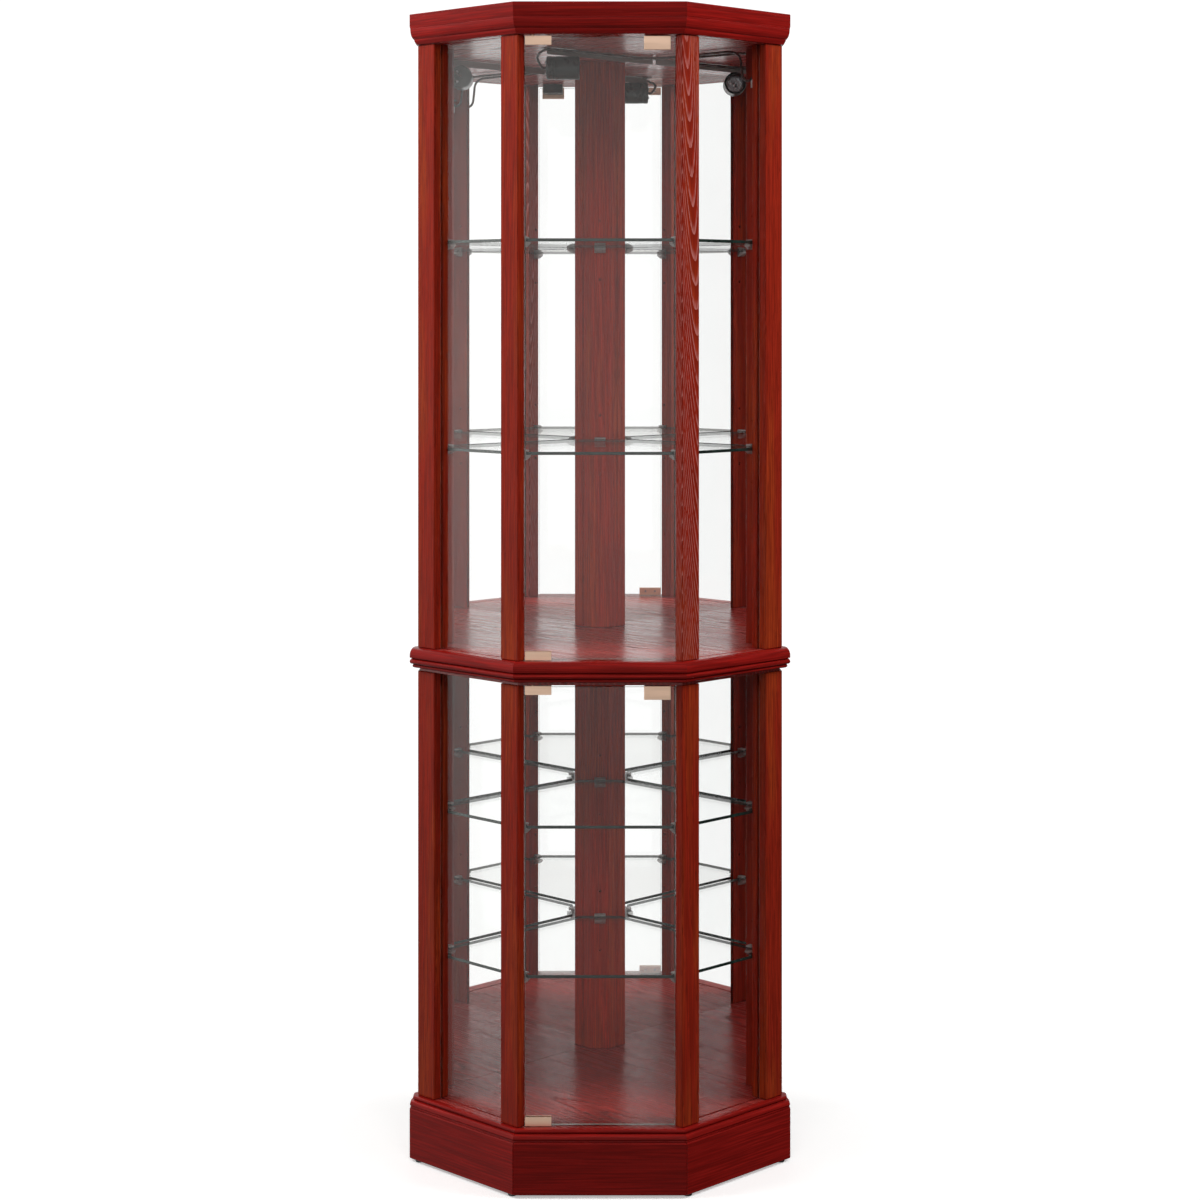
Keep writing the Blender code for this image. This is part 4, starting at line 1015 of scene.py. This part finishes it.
class CURIO_OT_mirrors(bpy.types.Operator):
    """Silvered glass on a packing strip, in front of a hardboard backing; the strip's near-black, matt finish
    is painted shade for the dark line at the mirror's foot
    """

    bl_idname = "curio.mirrors"
    bl_label = "Mirrors"

    def execute(self, context):
        names = ("silvered_glass", "pane_edge", "hardboard", "packing_with_painted_shade")
        finishes = [finish_named(name) for name in names]
        for level in LEVELS:
            for label, side in SIDES.items():
                node_name = f"{level}_mirror_{label}"
                (front, back), v_span, z_span = extent(node_name, side)
                split = front + (back - front) * MIRROR_GLASS_SHARE
                glass_span = (z_span[0] + PACKING_HEIGHT, z_span[1] - PACKING_HEIGHT)
                piece = pane(f"{level}_mirror_panel_{label}", side, (front, split - 0.0001), v_span,
                             glass_span, 0.0004)
                u = np.array([split, back, back, split])
                v = np.array([v_span[0], v_span[0], v_span[1], v_span[1]])
                piece.add(stacked(rounded(plan(side, u, v), 0.0003, 1), *z_span, 0.0003), 2)
                # The packing strip under the glass, whose near-black finish is painted shade along the
                # mirror's foot.
                u = np.array([front, split - 0.0002, split - 0.0002, front])
                rest = rounded(plan(side, u, v), 0.0002, 1)
                piece.add(stacked(rest, z_span[0], z_span[0] + PACKING_HEIGHT - 0.0002, 0.0001, 1), 3)
                made = piece.make(finishes, "cabinet", "mirror", PANE_EDGE_DEGREES)
                inward = np.append(plan(side, -1.0, 0.0) - plan(side, 0.0, 0.0), 0.0)
                paint_faces(made, 1, lambda normals: normals @ inward < FLAT_FACE)
                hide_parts(node_name)
        return {"FINISHED"}


def section_outline(node_name):
    """The plan outline of a flat CAD node, in order round it."""
    mesh = merged_copy(node_name)
    upper = max((polygon for polygon in mesh.polygons if polygon.normal.z > 0.9), key=lambda face: face.area)
    outline = np.array([mesh.vertices[index].co[:2] for index in upper.vertices])
    bpy.data.meshes.remove(mesh)
    return outline


class CURIO_OT_shelves(bpy.types.Operator):
    """Glass shelves with polished edges"""

    bl_idname = "curio.shelves"
    bl_label = "Shelves"

    def execute(self, context):
        finishes = [finish_named("shelf_plate"), finish_named("shelf_edge")]
        for level in LEVELS:
            for shelf in SHELVES[level]:
                low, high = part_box(shelf)
                outline = rounded(section_outline(shelf), 0.0025, 4)
                piece = Piece(f"{shelf}_pane").add(stacked(outline, low.z, high.z, 0.0007, 3))
                made = piece.make(finishes, "cabinet", "shelf_glass", PANE_EDGE_DEGREES)
                paint_faces(made, 1, lambda normals: np.abs(normals[:, 2]) < FLAT_FACE)
                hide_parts(shelf)
        return {"FINISHED"}


# ---------------------------------------------------------------- door fittings and latches
def screw_profile(radius, length):
    """Turned screw: a short shank, an eased head and a sunk socket, as (r, x) from the back."""
    return [(0.0001, 0.0), (radius * 0.98, 0.0), (radius, length * 0.1), (radius, length * 0.8),
            (radius * 0.85, length), (radius * 0.45, length), (radius * 0.40, length * 0.55),
            (0.0001, length * 0.5)]


class CURIO_OT_door_fittings(bpy.types.Operator):
    """Brass pivot caps and strikes, with their grub screws"""

    bl_idname = "curio.door_fittings"
    bl_label = "Door fittings"

    def execute(self, context):
        brass = finish_named("satin_brass")
        for level in LEVELS:
            screws = Piece(f"{level}_door_grub_screws")
            for kind in ("hinge_bottom", "hinge_top", "strike"):
                node_name = f"{level}_door_{kind}"
                reworked(node_name, f"{level}_door_{kind}_brass", [brass], "brass", ease=0.0004)
                low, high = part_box(node_name)
                pane_low, pane_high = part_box(f"{level}_door_glass")
                z_low = max(low.z, pane_low.z)
                z_high = min(high.z, pane_high.z)
                for share in (0.28, 0.72):
                    place = (low.x + (high.x - low.x) * share, high.y - 0.0006, (z_low + z_high) / 2)
                    screws.add(aimed(turned(screw_profile(0.0018, 0.0014), 16), place, (0, 1, 0)))
            screws.make([finish_named("screw_steel")], f"{level}_door", "brass")
        return {"FINISHED"}


class CURIO_OT_latches(bpy.types.Operator):
    """Push latches behind the strikes"""

    bl_idname = "curio.latches"
    bl_label = "Push latches"

    def execute(self, context):
        for level in LEVELS:
            housing = f"{level}_latch_housing"
            reworked(housing, f"{level}_latch_case", [finish_named("black_plastic")], "latch_plastic",
                     ease=0.0008)
            low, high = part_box(housing)
            heads = Piece(f"{level}_latch_screws")
            for share in (0.16, 0.84):
                place = (low.x + (high.x - low.x) * share, high.y - 0.009, low.z + 0.0004)
                head = turned(screw_profile(0.0028, 0.0012), 20)
                heads.add(aimed(head, place, (0, 0, -1), up=(0, 1, 0)))
            heads.make([finish_named("screw_steel")], "cabinet", "plunger_steel")
            low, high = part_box(f"{level}_latch_plunger")
            radius = (high.x - low.x) / 2
            length = high.y - low.y
            dome = arc((radius * 0.5, length - 0.0014), (radius * 0.5, 0.0014), 0, 88, 6)
            groove = [(radius, length - 0.0040), (radius * 0.86, length - 0.0038),
                      (radius * 0.86, length - 0.0028), (radius, length - 0.0026)]
            profile = np.concatenate([[(0.0001, 0.0), (radius - 0.0004, 0.0), (radius, 0.0004)], groove, dome,
                                      [(0.0001, length)]])
            place = ((low.x + high.x) / 2, high.y, (low.z + high.z) / 2)
            made = Piece(f"{level}_latch_pin").add(aimed(turned(profile, 28), place, (0, -1, 0))).make(
                [finish_named("screw_steel")], f"{level}_plunger", "plunger_steel")
            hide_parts(f"{level}_latch_plunger")
        return {"FINISHED"}


# ---------------------------------------------------------------- lamp
LEAD_POINTS = [
    (-0.0877, -0.0057, 1.7509), (-0.0931, -0.0057, 1.7509), (-0.1011, -0.0277, 1.7655),
    (-0.0891, -0.0507, 1.7755), (-0.0626, -0.0258, 1.7775), (0.0063, 0.0431, 1.7775),
    (0.0470, 0.0838, 1.7775), (0.0647, 0.1015, 1.7775), (0.1201, 0.0858, 1.7775),
    (0.1887, 0.0172, 1.7775), (0.2145, -0.0064, 1.7765), (0.2259, -0.0177, 1.7675),
    (0.2287, -0.0205, 1.7495), (0.2315, -0.0234, 1.7335), (0.2393, -0.0311, 1.7275),
    (0.2457, -0.0375, 1.7325), (0.2541, -0.0375, 1.7385), (0.2570, -0.0347, 1.7395),
    (0.2674, -0.0243, 1.7395),
]
LEAD_DIAMETER = 0.004


def holder_profile(radius, length):
    """The holder from its closed end: an eased shoulder, two grooves, a plain barrel, a lip and the bore."""
    wall = 0.0025
    grooves = [(radius, 0.0090), (radius - 0.0008, 0.0094), (radius - 0.0008, 0.0106), (radius, 0.0110),
               (radius, 0.0140), (radius - 0.0008, 0.0144), (radius - 0.0008, 0.0156), (radius, 0.0160)]
    return np.concatenate([
        [(0.0001, 0.0)], arc((radius - 0.003, 0.003), (0.003, 0.003), -90, 0, 5), grooves,
        [(radius, length - 0.0050), (radius, length - 0.0012), (radius - 0.0010, length),
         (radius - wall, length), (radius - wall, 0.0135), (0.0001, 0.0135)],
    ])


def screw_shell_profile(radius, start, length):
    """The bulb's brass shell: a thin sleeve whose wall waves with the thread, r = R - w (1 - cos) / 2."""
    along = np.linspace(0, length, 41)
    wave = 0.0008 * (1 - np.cos(2 * math.pi * along / 0.0036)) / 2
    outer = np.column_stack([radius - wave, start + along])
    inner = outer[::-1] - np.array([0.0005, 0.0])
    return np.concatenate([outer, inner, outer[:1]])


class CURIO_OT_lamp(bpy.types.Operator):
    """Lamp holder, its bracket and its lead"""

    bl_idname = "curio.lamp"
    bl_label = "Lamp"

    def execute(self, context):
        low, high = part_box("lamp_holder")
        radius = (high.z - low.z) / 2
        length = high.x - low.x
        start = np.array([low.x, (low.y + high.y) / 2, (low.z + high.z) / 2])
        along = (1, 0, 0)
        holder = turned(holder_profile(radius, length), 48)
        barrel = Piece("lamp_holder_barrel").add(aimed(holder, start, along))
        made = barrel.make([finish_named("phenolic")], "cabinet", "holder_phenolic", 30)
        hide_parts("lamp_holder")
        core = Piece("lamp_holder_core")
        shell = turned(screw_shell_profile(radius - 0.0036, 0.0150, length - 0.019), 40)
        core.add(aimed(shell, start, along))
        contact = [(0.0001, 0.0138), (0.0055, 0.0138), (0.0050, 0.0152), (0.0030, 0.0158), (0.0001, 0.0160)]
        core.add(aimed(turned(contact, 20), start, along))
        for height in (-0.008, 0.008):
            place = start + np.array([0.0004, -0.006, height])
            core.add(aimed(turned(screw_profile(0.0026, 0.0022), 16), place, (-1, 0, 0)))
        core.make([finish_named("screw_steel")], "cabinet", "holder_phenolic")
        self.make_bracket()
        self.make_lead()
        return {"FINISHED"}

    def make_bracket(self):
        """The strip on edge, and a screwed foot at each of its ends."""
        steel = finish_named("dark_steel")
        reworked("lamp_bracket", "lamp_bracket_strip", [steel], "bracket_steel", ease=0.0003)
        (u_low, u_high), (_, v_high), (_, z_high) = extent("lamp_bracket", 1)
        feet = Piece("lamp_bracket_feet")
        for u in (u_low, u_high - 0.012):
            corners_u = np.array([u, u + 0.012, u + 0.012, u])
            corners_v = np.array([v_high, v_high, v_high + 0.013, v_high + 0.013]) + JOINT_GAP
            outline = rounded(plan(1, corners_u, corners_v), 0.001, 2)
            feet.add(stacked(outline, z_high - 0.0012, z_high, 0.0002, 1))
            centre = plan(1, u + 0.006, v_high + 0.007)
            head = turned(screw_profile(0.0032, 0.0016), 20)
            feet.add(aimed(head, (*centre, z_high - 0.0012), (0, 0, -1), up=(0, 1, 0)), 1)
        feet.make([steel, finish_named("screw_steel")], "cabinet", "bracket_steel")

    def make_lead(self):
        """The lead from the holder, round by the mirror and out through the stile, and the tab on it."""
        line = smooth_route(LEAD_POINTS, 0.003)
        piece = Piece("lamp_lead_tube").add(tube(line, LEAD_DIAMETER / 2))
        lead = piece.make([finish_named("soft_brown_sheath")], "cabinet", "lead_sheath", 60)
        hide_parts("lamp_lead")
        middle = np.array(LEAD_POINTS[15])
        corners = np.array([(-0.0035, -0.014), (0.0035, -0.014), (0.0035, 0.0), (-0.0035, 0.0)])
        tag = stacked(rounded(corners, 0.0008, 2), 0.0, 0.0008, 0.0002, 1)
        hung = tag[..., [2, 0, 1]]
        hung[..., 2] -= LEAD_DIAMETER / 2 + JOINT_GAP
        away = np.append(plan(1, -1.0, 0.0) - plan(1, 0.0, 0.0), 0.0)
        Piece("lamp_lead_tab").add(aimed(hung, middle, away)).make(
            [finish_named("white_tag")], "cabinet", "lead_sheath")


# ---------------------------------------------------------------- studio
CAMERA_PLACE = (0.0, -4.0935, 1.355)
CAMERA_LENS_MM = 75.57
SENSOR_MM = 36.0
CAMERA_SHIFT_Y = -0.240
FLOOR_RADIUS = 0.85


def area_light(name, place, target, width, height, power):
    """A soft box that looks at a point, and that neither the camera nor a glossy face shows."""
    lamp = bpy.data.lights.new(name, "AREA")
    lamp.shape = "RECTANGLE"
    lamp.size = width
    lamp.size_y = height
    lamp.energy = power
    obj = bpy.data.objects.new(name, lamp)
    obj.location = place
    obj.rotation_euler = (Vector(target) - Vector(place)).to_track_quat("-Z", "Y").to_euler()
    obj.visible_glossy = False
    obj.visible_camera = False
    bpy.context.scene.collection.objects.link(obj)


def floor_finish():
    """Pale seamless floor that thins out into the white round it, 1 at the middle and 0 at its rim."""
    finish, tree, output = new_finish("studio_floor")
    place = node(tree, "ShaderNodeTexCoord").outputs["Object"]
    away = node(tree, "ShaderNodeVectorMath", {0: place}, operation="LENGTH").outputs["Value"]
    speck = noise(tree, place, 30.0, 4.0)
    tone = studio_settings().floor_tone
    base = blended(tree, between(tree, speck, 0.3, 0.7), rgba(tone), rgba(tone, 0.985))
    shader = node(tree, "ShaderNodeBsdfPrincipled", {
        "Base Color": base, "Roughness": 0.6, "Specular IOR Level": 0.2, "Emission Color": (1, 1, 1, 1),
        "Emission Strength": 0.42})
    clear = node(tree, "ShaderNodeBsdfTransparent")
    share = between(tree, away, FLOOR_RADIUS * 0.35, FLOOR_RADIUS * 0.98, 1.0, 0.0)
    both = node(tree, "ShaderNodeMixShader", {0: share, 1: clear.outputs[0], 2: shader.outputs[0]})
    tree.links.new(both.outputs[0], output.inputs[0])
    return finish


def floor_points(radius, rings=24, spokes=64):
    """A flat disc: x = r cos a, y = r sin a, with a slow swell of a few hundredths of a millimetre."""
    r = np.linspace(0.02, radius, rings)[:, None]
    a = np.linspace(0, 2 * math.pi, spokes, endpoint=False)[None, :]
    x = r * np.cos(a)
    y = r * np.sin(a)
    return np.stack([x, y, -0.0006 - 0.00004 * np.sin(5 * x) * np.cos(4 * y)], axis=-1)


def white_world():
    """White to the eye and in the mirrors, and a softer, darker room to everything else."""
    world = bpy.data.worlds.new("white_studio")
    world.use_nodes = True
    tree = world.node_tree
    tree.nodes.clear()
    output = tree.nodes.new("ShaderNodeOutputWorld")
    ray = node(tree, "ShaderNodeLightPath")
    sharp = worked_out(tree, "MAXIMUM", ray.outputs["Is Camera Ray"], ray.outputs["Is Singular Ray"])
    studio = studio_settings()
    way = node(tree, "ShaderNodeTexCoord").outputs["Generated"]
    parts = node(tree, "ShaderNodeSeparateXYZ", {0: way}).outputs
    window = between(tree, parts["X"], -0.9, 0.9, studio.sheen * 2.1, studio.sheen * 0.06)
    window = worked_out(tree, "MULTIPLY", window, between(tree, parts["Z"], -0.32, -0.04, 0.42, 1.0))
    level = blended(tree, ray.outputs["Is Glossy Ray"], (*[studio.ambient] * 3, 1.0), window)
    white = node(tree, "ShaderNodeBackground", {"Color": (1.0, 1.0, 1.0, 1.0), "Strength": 1.10})
    room = node(tree, "ShaderNodeBackground", {"Color": (1.0, 0.985, 0.97, 1.0), "Strength": level})
    both = node(tree, "ShaderNodeMixShader", {0: sharp, 1: room.outputs[0], 2: white.outputs[0]})
    tree.links.new(both.outputs[0], output.inputs[0])
    bpy.context.scene.world = world


class CURIO_OT_stage(bpy.types.Operator):
    """Floor, lights, world and camera"""

    bl_idname = "curio.stage"
    bl_label = "Studio"

    def execute(self, context):
        scene = context.scene
        studio = studio_settings()
        camera = bpy.data.cameras.new("studio_camera")
        camera.lens = CAMERA_LENS_MM
        camera.sensor_width = SENSOR_MM
        camera.shift_y = CAMERA_SHIFT_Y
        eye = bpy.data.objects.new("studio_camera", camera)
        eye.location = CAMERA_PLACE
        eye.rotation_euler = (math.pi / 2, 0.0, 0.0)
        scene.collection.objects.link(eye)
        scene.camera = eye
        rings = floor_points(FLOOR_RADIUS)
        mesh = bpy.data.meshes.new("studio_floor")
        rows, columns, _ = rings.shape
        faces = grid_quads(rows, columns, True).tolist() + [list(range(columns))]
        mesh.from_pydata(rings.reshape(-1, 3), [], faces)
        mesh.materials.append(floor_finish())
        ground = bpy.data.objects.new("studio_floor", mesh)
        scene.collection.objects.link(ground)
        ground.visible_diffuse = False
        ground.visible_glossy = False
        white_world()
        for label, side in SIDES.items():
            area_light(f"side_light_{label}", (side * 2.5, -0.35, 2.75), (0.0, -0.1, 1.0), 1.5, 1.9,
                       studio.side_power)
        area_light("front_light", (0.0, -3.3, 3.2), (0.0, 0.0, 0.9), 2.6, 1.6, studio.fill_power)
        scene.view_settings.view_transform = "Standard"
        scene.cycles.max_bounces = 20
        scene.cycles.glossy_bounces = 12
        scene.cycles.transparent_max_bounces = 64
        return {"FINISHED"}


# ---------------------------------------------------------------- the add-on
OPERATORS = (
    CURIO_OT_stage,
    CURIO_OT_base,
    CURIO_OT_mouldings,
    CURIO_OT_posts,
    CURIO_OT_boards,
    CURIO_OT_supports,
    CURIO_OT_glazing,
    CURIO_OT_mirrors,
    CURIO_OT_shelves,
    CURIO_OT_door_fittings,
    CURIO_OT_latches,
    CURIO_OT_lamp,
)
SETTINGS = {
    "curio_wood": WoodSettings,
    "curio_glass": GlassSettings,
    "curio_fittings": FittingSettings,
    "curio_studio": StudioSettings,
}


class CURIO_PT_panel(bpy.types.Panel):
    """Lists the cabinet's settings and the steps that build it"""

    bl_idname = "CURIO_PT_panel"
    bl_label = "Corner curio cabinet"
    bl_space_type = "VIEW_3D"
    bl_region_type = "UI"
    bl_category = "Curio Cabinet"

    def draw(self, context):
        for name, group in SETTINGS.items():
            box = self.layout.box()
            for field in group.__annotations__:
                box.prop(getattr(context.scene, name), field)
        for operator in OPERATORS:
            self.layout.operator(operator.bl_idname)


def register():
    for cls in (*SETTINGS.values(), *OPERATORS, CURIO_PT_panel):
        bpy.utils.register_class(cls)
    for name, group in SETTINGS.items():
        setattr(bpy.types.Scene, name, PointerProperty(type=group))


def unregister():
    for name in SETTINGS:
        delattr(bpy.types.Scene, name)
    for cls in reversed((*SETTINGS.values(), *OPERATORS, CURIO_PT_panel)):
        bpy.utils.unregister_class(cls)


def main():
    """Build the whole cabinet."""
    register()
    for operator in OPERATORS:
        group, name = operator.bl_idname.split(".")
        getattr(getattr(bpy.ops, group), name)()


if __name__ == "__main__":
    main()
